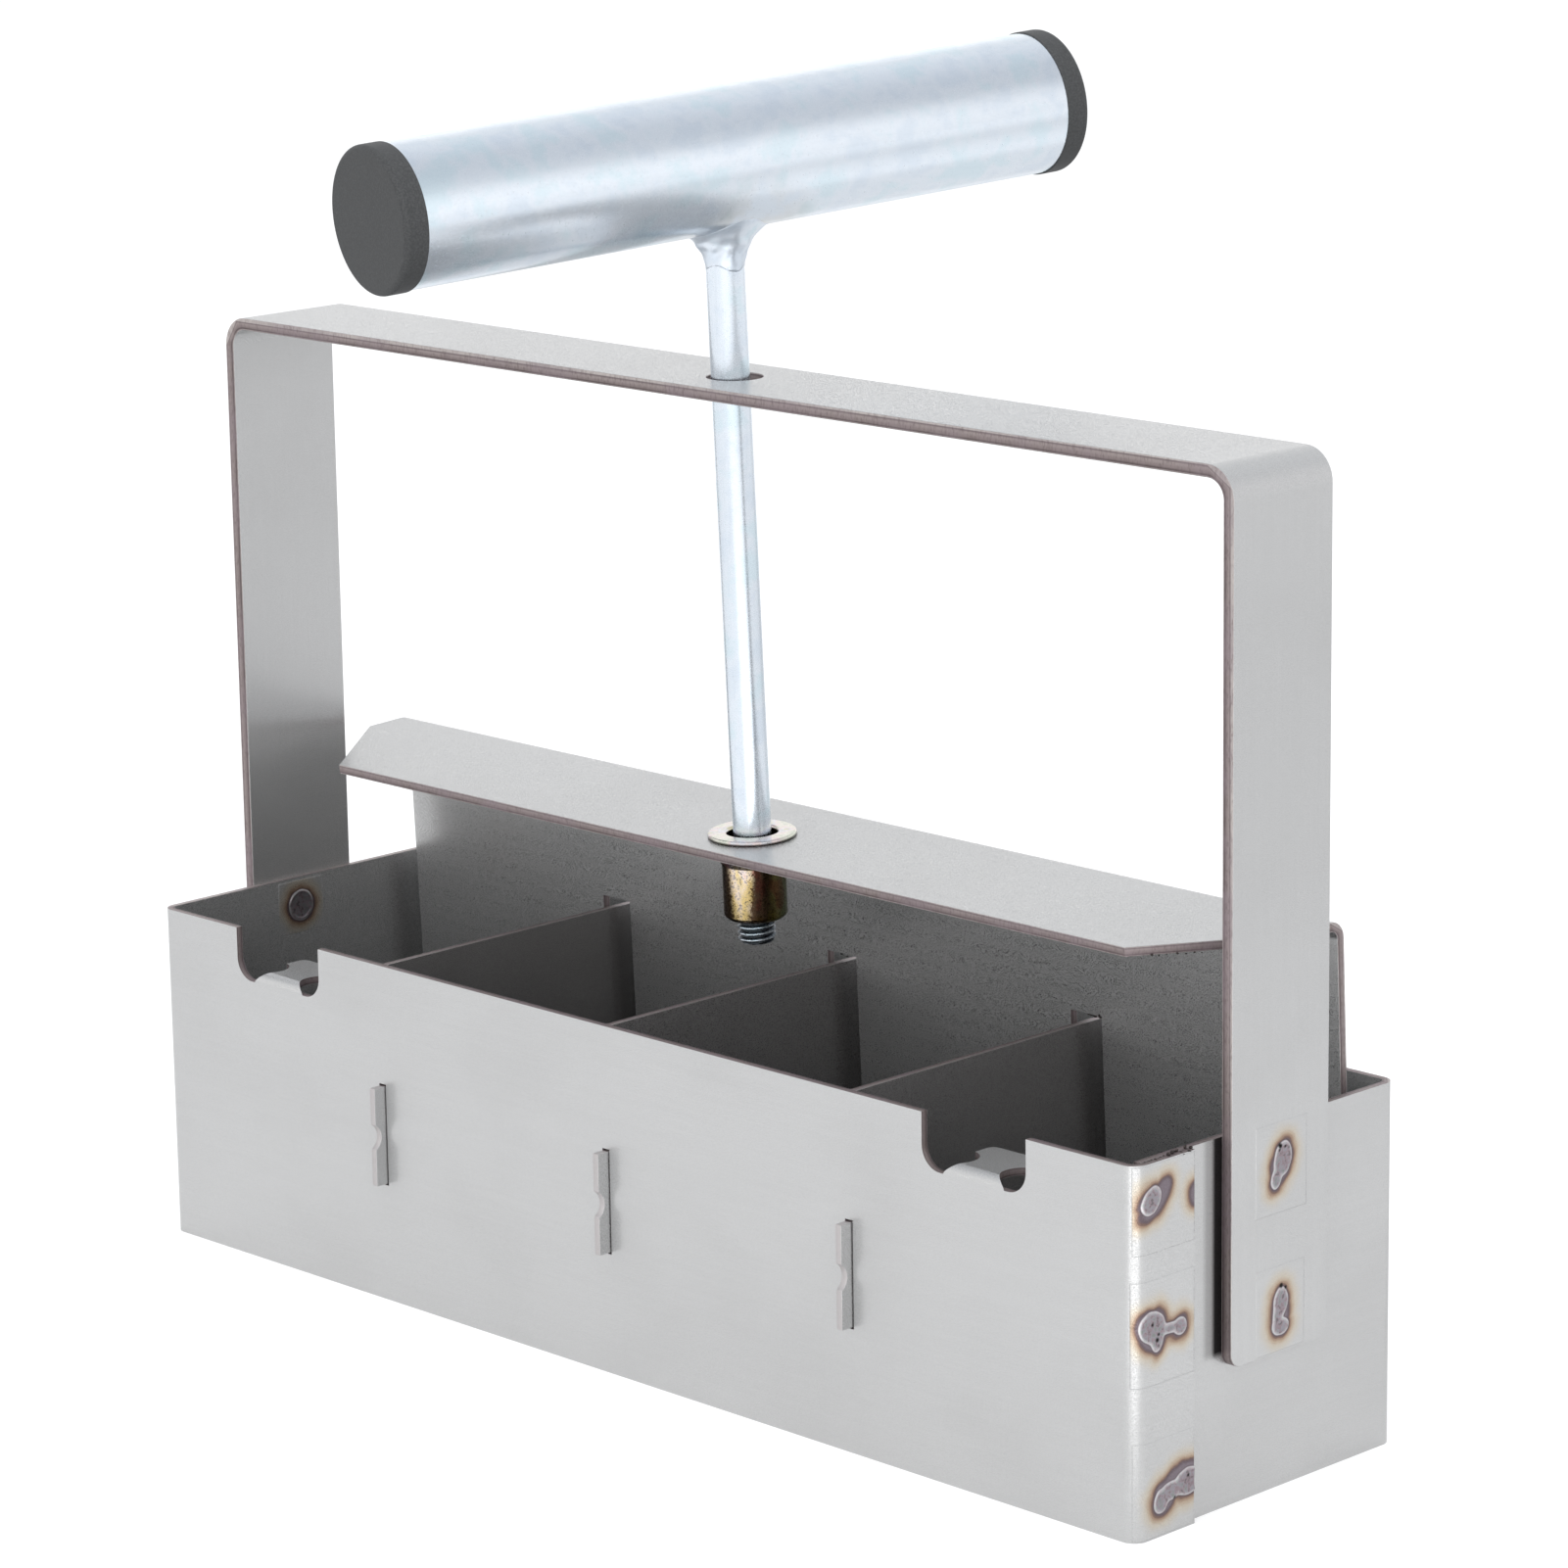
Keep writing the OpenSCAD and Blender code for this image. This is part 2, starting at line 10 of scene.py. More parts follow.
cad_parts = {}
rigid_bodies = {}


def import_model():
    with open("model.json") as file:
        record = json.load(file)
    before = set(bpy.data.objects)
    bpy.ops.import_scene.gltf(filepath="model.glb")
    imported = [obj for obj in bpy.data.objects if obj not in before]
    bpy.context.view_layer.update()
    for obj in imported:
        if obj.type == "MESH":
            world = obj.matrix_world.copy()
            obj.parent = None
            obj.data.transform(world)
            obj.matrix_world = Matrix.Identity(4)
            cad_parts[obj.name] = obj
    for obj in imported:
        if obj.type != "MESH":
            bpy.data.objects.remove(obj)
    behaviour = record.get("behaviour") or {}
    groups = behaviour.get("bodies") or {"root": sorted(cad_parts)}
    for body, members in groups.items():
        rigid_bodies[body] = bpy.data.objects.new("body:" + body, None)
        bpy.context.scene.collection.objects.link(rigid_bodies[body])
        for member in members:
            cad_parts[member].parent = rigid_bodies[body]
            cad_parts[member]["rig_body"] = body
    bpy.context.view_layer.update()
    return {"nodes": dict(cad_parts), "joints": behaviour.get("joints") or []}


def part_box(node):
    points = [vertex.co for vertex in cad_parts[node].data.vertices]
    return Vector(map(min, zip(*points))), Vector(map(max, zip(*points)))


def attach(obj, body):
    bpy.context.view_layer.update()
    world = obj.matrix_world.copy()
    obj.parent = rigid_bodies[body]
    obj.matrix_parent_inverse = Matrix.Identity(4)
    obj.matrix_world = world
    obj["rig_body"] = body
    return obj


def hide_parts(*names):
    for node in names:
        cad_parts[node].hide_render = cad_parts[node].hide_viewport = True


bl_info = {
    "name": "Soil Blocker Dresser",
    "version": (1, 0, 0),
    "blender": (4, 5, 0),
    "location": "3D View > Sidebar > Soil Blocker",
    "description": "Puts finishes, welds, threads and a studio on the packed soil blocker",
    "category": "Object",
}

MM = 0.001
# Numbers of the four cells
CELLS = range(1, 5)
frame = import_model()

# The pusher and its handle hang with a small lean. This matrix takes a place
# in their own upright frame to its place in the mould.
TURN = next(j for j in frame["joints"] if j["name"] == "handle_turn")
PIVOT = Vector(TURN["pos_m"])
LEAN = Vector((0, 0, 1)).rotation_difference(Vector(TURN["axis"]).normalized()).to_matrix().to_4x4()
HUNG = Matrix.Translation(PIVOT) @ LEAN @ Matrix.Translation(-PIVOT)
UPRIGHT = HUNG.inverted()


def span(points):
    """Lowest and highest corner of some points."""
    points = list(points)
    low = Vector([min(p[i] for p in points) for i in range(3)])
    high = Vector([max(p[i] for p in points) for i in range(3)])
    return low, high


def upright_box(node):
    """A node's lowest and highest corner in the pusher's own upright frame."""
    return span(UPRIGHT @ v.co for v in frame["nodes"][node].data.vertices)


# Materials


def linear(code):
    """sRGB hex colour to Blender's linear RGBA."""
    parts = [int(code[i : i + 2], 16) / 255 for i in (1, 3, 5)]
    return tuple(c / 12.92 if c <= 0.04045 else ((c + 0.055) / 1.055) ** 2.4 for c in parts) + (1.0,)


# Kinds of node under a short name: Blender's own name, its inputs in the order that
# they are given, the output that is read and its fixed settings
KINDS = {
    "mix": ("ShaderNodeMix", (6, 7, 0), 2, {"data_type": "RGBA"}),
    "shade": ("ShaderNodeMix", (6, 7, 0), 2, {"data_type": "RGBA", "blend_type": "MULTIPLY"}),
    "ramp": ("ShaderNodeValToRGB", (0,), 0, {}),
    "range": ("ShaderNodeMapRange", (0, 1, 2, 3, 4), 0, {}),
    "axes": ("ShaderNodeSeparateXYZ", (0,), None, {}),
    "bump": ("ShaderNodeBump", ("Height", "Distance", "Strength"), 0, {}),
}
SUMS = "ABSOLUTE ADD COSINE DIVIDE FRACT GREATER_THAN LESS_THAN MAXIMUM MINIMUM MULTIPLY SINE SUBTRACT"
MEASURES = "DISTANCE DOT_PRODUCT LENGTH"
KINDS.update({name: ("ShaderNodeMath", (0, 1), 0, {"operation": name}) for name in SUMS.split()})
KINDS.update({name: ("ShaderNodeVectorMath", (0, 1), 1, {"operation": name}) for name in MEASURES.split()})


def feed(tree, node, inputs):
    """Sets a node's inputs by name or number. Each is a value, or a socket to link."""
    for key, value in inputs.items():
        if isinstance(value, bpy.types.NodeSocket):
            tree.links.new(value, node.inputs[key])
        else:
            node.inputs[key].default_value = value


def add(tree, kind, *inputs, out=0, stops=(), **settings):
    """Adds a node with its settings and links, and returns its output, or all of them
    where out is None. Inputs are given in order, or as one dict by name. Stops are
    the places and hex colours of a colour ramp."""
    kind, order, out, fixed = KINDS.get(kind, (kind, range(len(inputs)), out, {}))
    made = tree.nodes.new(kind)
    for key, value in {**fixed, **settings}.items():
        setattr(made, key, value)
    if stops:
        made.color_ramp.interpolation = "EASE"
        elements = made.color_ramp.elements
        while len(elements) < len(stops):
            elements.new(1.0)
        for element, (place, code) in zip(elements, stops):
            element.position = place
            element.color = linear(code)
    by_name = inputs and isinstance(inputs[0], dict)
    feed(tree, made, inputs[0] if by_name else dict(zip(order, inputs)))
    return made.outputs if out is None else made.outputs[out]


def start_material(name):
    """New node material: returns it with its tree, shader and Object coordinates."""
    material = bpy.data.materials.new(name)
    material.use_nodes = True
    tree = material.node_tree
    return material, tree, tree.nodes["Principled BSDF"], add(tree, "ShaderNodeTexCoord", out="Object")


def grain_noise(tree, coords, per_mm, detail=3.0, rough=0.55):
    """Noise with so many pattern units a millimetre on each axis."""
    scale = [value / MM for value in per_mm]
    scaled = add(tree, "ShaderNodeMapping", {"Vector": coords, "Scale": scale})
    grain = {"Vector": scaled, "Scale": 1.0, "Detail": detail, "Roughness": rough}
    return add(tree, "ShaderNodeTexNoise", grain)


def rolled_look(tree, shader, coords, grain_per_mm, code, roughness):
    """Colour and roughness of cold-rolled 2B stainless sheet. The rolls leave a
    milky mirror: flats between pickled grains reflect sharply and the grains
    scatter widely, with fine lines along the sheet. Returns the colour and the
    roughness sockets."""
    lines = grain_noise(tree, coords, grain_per_mm, 4.0, 0.6)
    grains = grain_noise(tree, coords, (9.0, 9.0, 9.0), 1.0, 0.5)
    clouds = grain_noise(tree, coords, (0.03, 0.03, 0.04), 3.0, 0.5)
    bright = add(
        tree, "mix", linear(code), linear("#ffffff"), add(tree, "range", lines, 0.35, 0.75, 0.0, 0.05)
    )
    mottled = add(tree, "mix", bright, linear("#8f8d8c"), add(tree, "range", clouds, 0.45, 0.75, 0.0, 0.1))
    rough = add(tree, "range", grains, 0.42, 0.58, roughness - 0.08, roughness + 0.34)
    feed(tree, shader, {"Metallic": 0.9, "Normal": add(tree, "bump", lines, 0.002 * MM, 0.4)})
    return mottled, rough


def rolled_stainless(name, grain_per_mm, code, roughness=0.3, strap_shade=None, inner_y=None):
    """Cold-rolled stainless sheet. Where the side, the end and the foot of a strap on
    it are given, the sheet beside the strap carries a painted shadow and a painted
    reflection of the strap's edge: a grey band, then a black line. Nearer the middle
    than inner_y it is darkened by a painted shade inside the mould."""
    material, tree, shader, coords = start_material(name)
    colour, rough = rolled_look(tree, shader, coords, grain_per_mm, code, roughness)
    if strap_shade:
        # Painted shadow and painted reflection of the strap's edge on the sheet beside it
        side_y, end_x, foot_z = strap_shade
        place = add(tree, "axes", coords)
        ends = add(tree, "GREATER_THAN", add(tree, "ABSOLUTE", place["X"]), end_x - 0.1 * MM)
        beside = add(
            tree, "MULTIPLY", ends, add(tree, "range", place["Z"], foot_z, foot_z + 1.0 * MM, 0.0, 1.0)
        )
        out = add(tree, "SUBTRACT", side_y, place["Y"])
        under = add(tree, "MULTIPLY", beside, add(tree, "GREATER_THAN", out, -0.5 * MM))
        # A grey band of painted shadow, then a black line of painted shadow and reflection next to the strap
        grey = add(tree, "MULTIPLY", under, add(tree, "range", out, 3.2 * MM, 4.2 * MM, 0.4, 0.0))
        black = add(tree, "MULTIPLY", under, add(tree, "range", out, 1.4 * MM, 2.1 * MM, 0.95, 0.0))
        colour = add(
            tree, "mix", add(tree, "mix", colour, linear("#5d5a5a"), grey), linear("#0c0a0a"), black
        )
    if inner_y:
        # Painted shade: the sheet nearer the middle than inner_y, inside the mould, is darkened
        across = add(tree, "axes", coords)["Y"]
        inside_shade = add(tree, "range", add(tree, "ABSOLUTE", across), inner_y - 0.3 * MM, inner_y, 1.0, 0.0)
        colour = add(tree, "shade", colour, linear("#d3d0d0"), inside_shade)
    feed(tree, shader, {"Base Color": colour, "Roughness": rough})
    return material


def cut_edge(name, wall_y):
    """Laser-cut edge of stainless sheet: brown oxide with fine drag lines through
    the thickness, darker where the beam came out, with a dark line of dross along
    one side and a bright burr along the other. Edges that stand out of the walls
    at wall_y are rubbed bright."""
    material, tree, shader, coords = start_material(name)
    side = add(tree, "ShaderNodeAttribute", out="Fac", attribute_name="skin")
    drag = grain_noise(tree, coords, (3.5, 3.5, 1.2), 3.0, 0.6)
    patches = grain_noise(tree, coords, (0.12, 0.12, 0.12), 3.0, 0.6)
    across = add(
        tree,
        "ramp",
        side,
        stops=[
            (0.0, "#9c9391"),
            (0.12, "#544949"),
            (0.34, "#837776"),
            (0.72, "#968b89"),
            (0.9, "#756a6b"),
            (1.0, "#b5adaa"),
        ],
    )
    warm = add(tree, "mix", across, linear("#8c7e84"), add(tree, "range", patches, 0.4, 0.65, 0.0, 0.5))
    streaked = add(tree, "mix", warm, linear("#5e5050"), add(tree, "range", drag, 0.5, 0.72, 0.0, 0.45))
    across_y = add(tree, "ABSOLUTE", add(tree, "axes", coords)["Y"])
    rubbed = add(tree, "range", across_y, wall_y + 0.1 * MM, wall_y + 0.4 * MM, 0.0, 0.75)
    worn = add(tree, "mix", streaked, linear("#c9c6c6"), rubbed)
    rough = add(tree, "range", drag, 0.3, 0.7, 0.4, 0.62)
    relief = add(tree, "bump", drag, 0.02 * MM, 0.6)
    feed(tree, shader, {"Base Color": worn, "Metallic": 0.6, "Roughness": rough, "Normal": relief})
    return material


def bright_zinc(name, streak_per_mm, roughness=0.2, burnt=None, roots=None, worn=1.0):
    """Electroplated bright zinc with a blue passivation: cool white and glossy,
    with faint draw lines along the piece and dull specks in the plating, as worn
    says. Near the weld it has a browned patch. Thread roots, given by a place and
    direction of the axis and the crest radius, are painted dark as shade in the
    recesses between the crests."""
    material, tree, shader, coords = start_material(name)
    streaks = grain_noise(tree, coords, streak_per_mm, 4.0, 0.6)
    mottle = grain_noise(tree, coords, (0.16, 0.16, 0.16), 3.0, 0.55)
    specks = grain_noise(tree, coords, (2.6, 2.6, 2.6), 3.0, 0.65)
    cool = add(tree, "ramp", mottle, stops=[(0.35, "#dbe4ee"), (0.5, "#e2e9f1"), (0.66, "#d8e6ee")])
    lined = add(
        tree, "mix", cool, linear("#aab6c4"), add(tree, "range", streaks, 0.52, 0.75, 0.0, 0.22 * worn)
    )
    flecked = add(
        tree, "mix", lined, linear("#8d959c"), add(tree, "range", specks, 0.6, 0.74, 0.0, 0.35 * worn)
    )
    if burnt:
        away = add(tree, "DISTANCE", coords, burnt)
        near = add(tree, "range", away, 0.007, 0.0155, 0.75, 0.0)
        patchy = add(tree, "MULTIPLY", near, add(tree, "range", mottle, 0.35, 0.65, 0.2, 1.0))
        flecked = add(tree, "mix", flecked, linear("#a9a59c"), patchy)
    if roots:
        # Painted shade in the thread roots: darker towards the root radius
        place, axis, crest_r = roots
        apart = add(tree, "ShaderNodeVectorMath", coords, place, operation="SUBTRACT")
        arm = add(tree, "ShaderNodeVectorMath", apart, axis, operation="CROSS_PRODUCT")
        radius = add(tree, "LENGTH", arm)
        root_shade = add(tree, "range", radius, crest_r - 0.5 * MM, crest_r - 0.16 * MM, 0.92, 0.0)
        flecked = add(tree, "mix", flecked, linear("#1f2326"), root_shade)
    rough = add(tree, "range", specks, 0.35, 0.75, roughness, roughness + 0.2 * worn)
    relief = add(tree, "bump", streaks, 0.0015 * worn * MM, 0.4)
    feed(tree, shader, {"Base Color": flecked, "Metallic": 1.0, "Roughness": rough, "Normal": relief})
    return material


def yellow_zinc(name, foot, up, highlight_way, barrel_r):
    """Yellow chromated zinc. The flange above the plate is rubbed to silver with
    pink and green breaths of colour. The barrel keeps the thick film, olive with
    gold, under a fine mottle; on the side that faces the given way it has a
    painted highlight in pale pink and gold, with a painted dark brown reflection
    beside it. A painted shade darkens the flange's foot under its rim. Foot is the
    place on the axis where the flange starts."""
    material, tree, shader, coords = start_material(name)
    patches = grain_noise(tree, coords, (0.3, 0.3, 0.14), 2.0, 0.5)
    dirt = grain_noise(tree, coords, (1.9, 1.9, 1.9), 5.0, 0.7)
    apart = add(tree, "ShaderNodeVectorMath", coords, foot, operation="SUBTRACT")
    height = add(tree, "DOT_PRODUCT", apart, up)
    facing = add(tree, "DOT_PRODUCT", apart, highlight_way)
    # Painted highlight and painted dark reflection: the film's colour follows how far the barrel faces the
    # given way
    edged = add(
        tree,
        "ADD",
        add(tree, "range", facing, 0.0, barrel_r, 0.0, 1.0),
        add(tree, "range", dirt, 0.3, 0.7, -0.07, 0.07),
    )
    film = add(
        tree,
        "ramp",
        edged,
        stops=[
            (0.0, "#6e7350"),
            (0.4, "#8f8455"),
            (0.62, "#574533"),
            (0.84, "#4d3c2e"),
            (0.9, "#ecd6b4"),
            (0.96, "#fff0ec"),
        ],
    )
    breaths = add(tree, "ramp", patches, stops=[(0.4, "#f3ecbc"), (0.5, "#ffffff"), (0.58, "#ffc9d8")])
    coloured = add(tree, "shade", film, breaths, 0.9)
    stained = add(tree, "mix", coloured, linear("#2b211a"), add(tree, "range", dirt, 0.5, 0.62, 0.0, 0.75))
    rubbed = add(
        tree,
        "ramp",
        patches,
        stops=[
            (0.36, "#c9ccbf"), (0.46, "#dad7cc"), (0.54, "#dccdcb"), (0.62, "#d3d2d6"), (0.72, "#cdc7ae")
        ],
    )
    above = add(tree, "range", height, 0.0, 0.3 * MM, 0.0, 1.0)
    # Painted shade: a dark band at the flange's foot, under its rim
    rim_shade = add(
        tree,
        "MULTIPLY",
        add(tree, "range", height, -0.3 * MM, -0.1 * MM, 0.0, 1.0),
        add(tree, "range", height, 0.2 * MM, 0.45 * MM, 0.9, 0.0),
    )
    rimmed = add(tree, "mix", add(tree, "mix", stained, rubbed, above), linear("#2a231c"), rim_shade)
    rough = add(tree, "range", dirt, 0.35, 0.7, 0.16, 0.4)
    relief = add(tree, "bump", dirt, 0.015 * MM, 0.5)
    feed(tree, shader, {"Base Color": rimmed, "Metallic": 1.0, "Roughness": rough, "Normal": relief})
    return material


def moulded_polyethylene(name):
    """Injection-moulded black polyethylene: a dull charcoal with a fine spark-eroded
    pebble, and pale scuffs and dust that catch on its rim."""
    material, tree, shader, coords = start_material(name)
    pebble = grain_noise(tree, coords, (3.2, 3.2, 3.2), 4.0, 0.6)
    scuffs = grain_noise(tree, coords, (1.1, 1.1, 1.1), 5.0, 0.75)
    body = add(
        tree, "mix", linear("#3a3b3c"), linear("#4b4c4d"), add(tree, "range", pebble, 0.4, 0.65, 0.0, 1.0)
    )
    scuffed = add(tree, "mix", body, linear("#8b8b8a"), add(tree, "range", scuffs, 0.66, 0.78, 0.0, 0.55))
    rough = add(tree, "range", pebble, 0.3, 0.7, 0.5, 0.7)
    relief = add(tree, "bump", pebble, 0.03 * MM, 0.8)
    finish = {"Base Color": scuffed, "Roughness": rough, "Normal": relief, "Specular IOR Level": 0.35}
    feed(tree, shader, finish)
    return material


WELD_MARKS = ("melt", "scorch", "soot")


def spot_weld_metal(name, grain_per_mm, code, roughness=0.3):
    """Melted and heat-tinted stainless. The attributes melt and scorch are distances
    in millimetres from the rim of the melt and of the scorched metal round it,
    below zero inside, and soot marks burnt specks. The puddle is grey and
    rippled with a bright rim. Round it the oxide runs from purple through brown
    to straw and fades into the rolled sheet."""
    material, tree, shader, coords = start_material(name)
    sheet, rough = rolled_look(tree, shader, coords, grain_per_mm, code, roughness)
    melt, heat, soot = (
        add(tree, "ShaderNodeAttribute", out="Fac", attribute_name=mark) for mark in WELD_MARKS
    )
    smoke = grain_noise(tree, coords, (0.3, 0.3, 0.3), 1.0, 0.5)
    ripple = grain_noise(tree, coords, (1.3, 1.3, 1.3), 3.0, 0.6)
    edge = add(tree, "ADD", heat, add(tree, "range", smoke, 0.35, 0.65, -0.2, 0.2))
    bands = add(
        tree,
        "ramp",
        add(tree, "range", edge, -0.6, 3.0, 0.0, 1.0),
        stops=[
            (0.0, "#7f757c"),
            (0.14, "#6c5f64"),
            (0.21, "#7d675f"),
            (0.3, "#a18670"),
            (0.42, "#b9a389"),
            (0.6, "#c8bba5"),
            (1.0, "#c8c3bb"),
        ],
    )
    halo = add(tree, "mix", sheet, bands, add(tree, "range", edge, 0.2, 3.2, 1.0, 0.0))
    puddle = add(
        tree,
        "ramp",
        add(tree, "range", melt, -1.6, 0.2, 0.0, 1.0),
        stops=[
            (0.0, "#a19da2"),
            (0.6, "#a5a2a7"),
            (0.76, "#bbb9bc"),
            (0.84, "#d2d1d3"),
            (0.9, "#a9a5a8"),
            (0.95, "#574b50"),
        ],
    )
    tinged = add(
        tree,
        "ramp",
        ripple,
        stops=[(0.34, "#c3d0c2"), (0.46, "#e2e0e4"), (0.56, "#dcc0c3"), (0.66, "#85807f")],
    )
    rippled = add(tree, "shade", puddle, tinged, add(tree, "range", melt, -0.45, 0.0, 0.75, 0.25))
    inside = add(tree, "range", melt, 0.06, 0.2, 1.0, 0.0)
    metal = add(tree, "mix", halo, rippled, inside)
    sooty = add(tree, "mix", metal, linear("#1d1918"), soot)
    smooth = add(tree, "mix", rough, (0.36, 0.36, 0.36, 1.0), inside)
    feed(tree, shader, {"Base Color": sooty, "Roughness": smooth})
    return material


def cutting_dross(name):
    """Beads of burnt slag that the laser leaves under a cut: near-black iron and
    chrome oxide with a dull glassy skin."""
    material, tree, shader, coords = start_material(name)
    crust = grain_noise(tree, coords, (4.0, 4.0, 4.0), 3.0, 0.6)
    colour = add(tree, "ramp", crust, stops=[(0.35, "#1b1716"), (0.55, "#332b29"), (0.75, "#5e5350")])
    relief = add(tree, "bump", crust, 0.03 * MM, 0.7)
    feed(tree, shader, {"Base Color": colour, "Metallic": 0.3, "Roughness": 0.45, "Normal": relief})
    return material


# Mesh helpers


def new_piece(ending, mesh, node, materials=(), stands_in=True):
    """Links a finished mesh as a piece with the body and the finish of a node. It
    replaces that node, unless it only adds to it."""
    piece = bpy.data.objects.new(node + ending, mesh)
    bpy.context.scene.collection.objects.link(piece)
    for material in materials:
        mesh.materials.append(material)
    if stands_in:
        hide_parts(node)
    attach(piece, frame["nodes"][node]["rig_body"])


def baked(piece):
    """Mesh of a piece with its modifiers, which are then taken off."""
    bpy.context.view_layer.update()
    depsgraph = bpy.context.evaluated_depsgraph_get()
    mesh = bpy.data.meshes.new_from_object(piece.evaluated_get(depsgraph), depsgraph=depsgraph)
    piece.modifiers.clear()
    return mesh


def mesh_from(name, verts, faces, smooth=True):
    """Mesh with outward faces from lists of corners and faces."""
    mesh = bpy.data.meshes.new(name)
    mesh.from_pydata([tuple(v) for v in verts], [], faces)
    mesh.validate()
    for polygon in mesh.polygons:
        polygon.use_smooth = smooth
    return mesh


def merged_copy(node):
    """Editable copy of a CAD node's mesh with its loose triangles joined."""
    bm = bmesh.new()
    bm.from_mesh(frame["nodes"][node].data)
    bmesh.ops.remove_doubles(bm, verts=bm.verts, dist=0.002 * MM)
    bmesh.ops.dissolve_limit(bm, angle_limit=math.radians(0.5), verts=bm.verts, edges=bm.edges)
    for face in bm.faces:
        face.smooth = True
    return bm


def softened(mesh, bevel_w):
    """Breaks a mesh's sharp edges and keeps its large faces flat to the light."""
    holder = bpy.data.objects.new(mesh.name + "_holder", mesh)
    bpy.context.scene.collection.objects.link(holder)
    bevel = holder.modifiers.new("broken_edges", "BEVEL")
    bevel.width = bevel_w
    bevel.segments = 2
    bevel.limit_method = "ANGLE"
    bevel.angle_limit = math.radians(35)
    bevel.miter_outer = "MITER_ARC"
    flatten = holder.modifiers.new("flat_face_normals", "WEIGHTED_NORMAL")
    flatten.mode = "FACE_AREA"
    flatten.weight = 60
    finished = baked(holder)
    bpy.data.objects.remove(holder)
    return finished


def smooth_copy(node, material, bevel_w):
    """Copies a turned or moulded node with its round faces shaded smooth and its
    sharp edges broken."""
    bm = merged_copy(node)
    mesh = bpy.data.meshes.new(node + "_smooth")
    bm.to_mesh(mesh)
    bm.free()
    mesh.materials.append(material)
    new_piece("_dressed", softened(mesh, bevel_w), node)


def dressed_sheet(node, skin, face_material, edge_material, bevel_w):
    """Copies a sheet-metal node, breaks its sharp edges, and gives its cut edges
    their own material. skin(place) says on which side of the sheet's middle a
    corner lies: above zero outside, below zero inside."""
    bm = merged_copy(node)
    for face in bm.faces:
        sides = [skin(v.co) > 0 for v in face.verts]
        face.material_index = 1 if any(sides) and not all(sides) else 0
    mesh = bpy.data.meshes.new(node + "_sheet")
    bm.to_mesh(mesh)
    bm.free()
    mesh.materials.append(face_material)
    mesh.materials.append(edge_material)
    finished = softened(mesh, bevel_w)
    attribute = finished.attributes.new("skin", "FLOAT", "POINT")
    attribute.data.foreach_set("value", [1.0 if skin(v.co) > 0 else 0.0 for v in finished.vertices])
    new_piece("_dressed", finished, node)


# Settings


def length_setting(name, description, millimetres):
    """Setting of a length."""
    return bpy.props.FloatProperty(
        name=name, description=description, default=millimetres * MM, unit="LENGTH"
    )


class SheetSettings(bpy.types.PropertyGroup):
    """Finish of the bent sheets."""

    sheet_t: length_setting("Mould sheet", "Thickness of the mould's sheet", 1.2)
    strap_t: length_setting("Bail strap", "Thickness of the bail's strap", 2.0)
    pusher_t: length_setting("Pusher sheet", "Thickness of the pusher's sheet", 1.5)
    corner_r: length_setting("Corner radius", "Outer radius of the mould's bends", 2.5)
    bail_r: length_setting("Bail radius", "Outer radius of the bail's bends", 5.0)
    pusher_r: length_setting("Pusher radius", "Outer radius of the pusher's bends", 3.0)
    stop_x: length_setting("Stop tab place", "Middle of a stop tab along the mould", 79.5)
    stop_w: length_setting("Stop tab width", "Width of a stop tab", 12.6)
    stop_z: length_setting("Stop tab height", "Height of a stop tab's top", 50.1)
    stop_r: length_setting("Stop tab radius", "Outer radius of a stop tab's bend", 1.8)
    edge_break: length_setting("Edge break", "Width of the broken edges", 0.1)
    sheet_code: bpy.props.StringProperty(
        name="Sheet colour", description="sRGB hex colour of the rolled sheet", default="#c5c5c5"
    )
    roughness: bpy.props.FloatProperty(
        name="Roughness",
        description="Roughness of the rolled sheet",
        default=0.3,
        min=0.0,
        max=1.0,
        subtype="FACTOR",
    )


class FastenerSettings(bpy.types.PropertyGroup):
    """Threads and the handle's weld."""

    rod_pitch: length_setting("Rod pitch", "Pitch of the rod's M6 thread", 1.0)
    rod_depth: length_setting("Rod thread depth", "Depth of the rod's thread", 0.6)
    rivet_r: length_setting("Rivet nut radius", "Radius of the rivet nut's barrel", 5.1)
    stud_d: length_setting("Stud thread", "Diameter of the studs' M5 thread", 5.0)
    stud_pitch: length_setting("Stud pitch", "Pitch of the studs' thread", 0.8)
    stud_depth: length_setting("Stud thread depth", "Depth of the studs' thread", 0.48)
    stud_head_h: length_setting("Stud head", "Height of the studs' domed heads", 3.0)
    weld_reach: length_setting("Collar reach", "Reach of the weld collar on the tube", 6.6)
    weld_drop: length_setting("Collar drop", "Drop of the weld collar down the rod", 5.6)


class StageSettings(bpy.types.PropertyGroup):
    """Camera, lights and floor."""

    lens: bpy.props.FloatProperty(
        name="Lens", description="Focal length on a 36 mm sensor", default=130.16, unit="CAMERA"
    )
    camera_place: bpy.props.FloatVectorProperty(
        name="Camera place",
        description="Where the camera stands",
        default=(0.62859, -0.60542, 0.29584),
        unit="LENGTH",
    )
    camera_yaw: bpy.props.FloatProperty(
        name="Camera heading", description="Heading of the view, from +X", default=2.36654, unit="ROTATION"
    )
    camera_pitch: bpy.props.FloatProperty(
        name="Camera pitch", description="How far the view points down", default=0.231248, unit="ROTATION"
    )
    camera_roll: bpy.props.FloatProperty(
        name="Camera roll", description="Turn about the view's own axis", default=0.015343, unit="ROTATION"
    )


# Sheets


def bent_side(beyond_u, beyond_v, bend_r, half):
    """Side of a bent sheet's middle that a place lies on, from how far it is past
    the start of the bend both ways. Half is half the sheet's thickness."""
    return math.hypot(max(0.0, beyond_u), max(0.0, beyond_v)) - (bend_r - half)


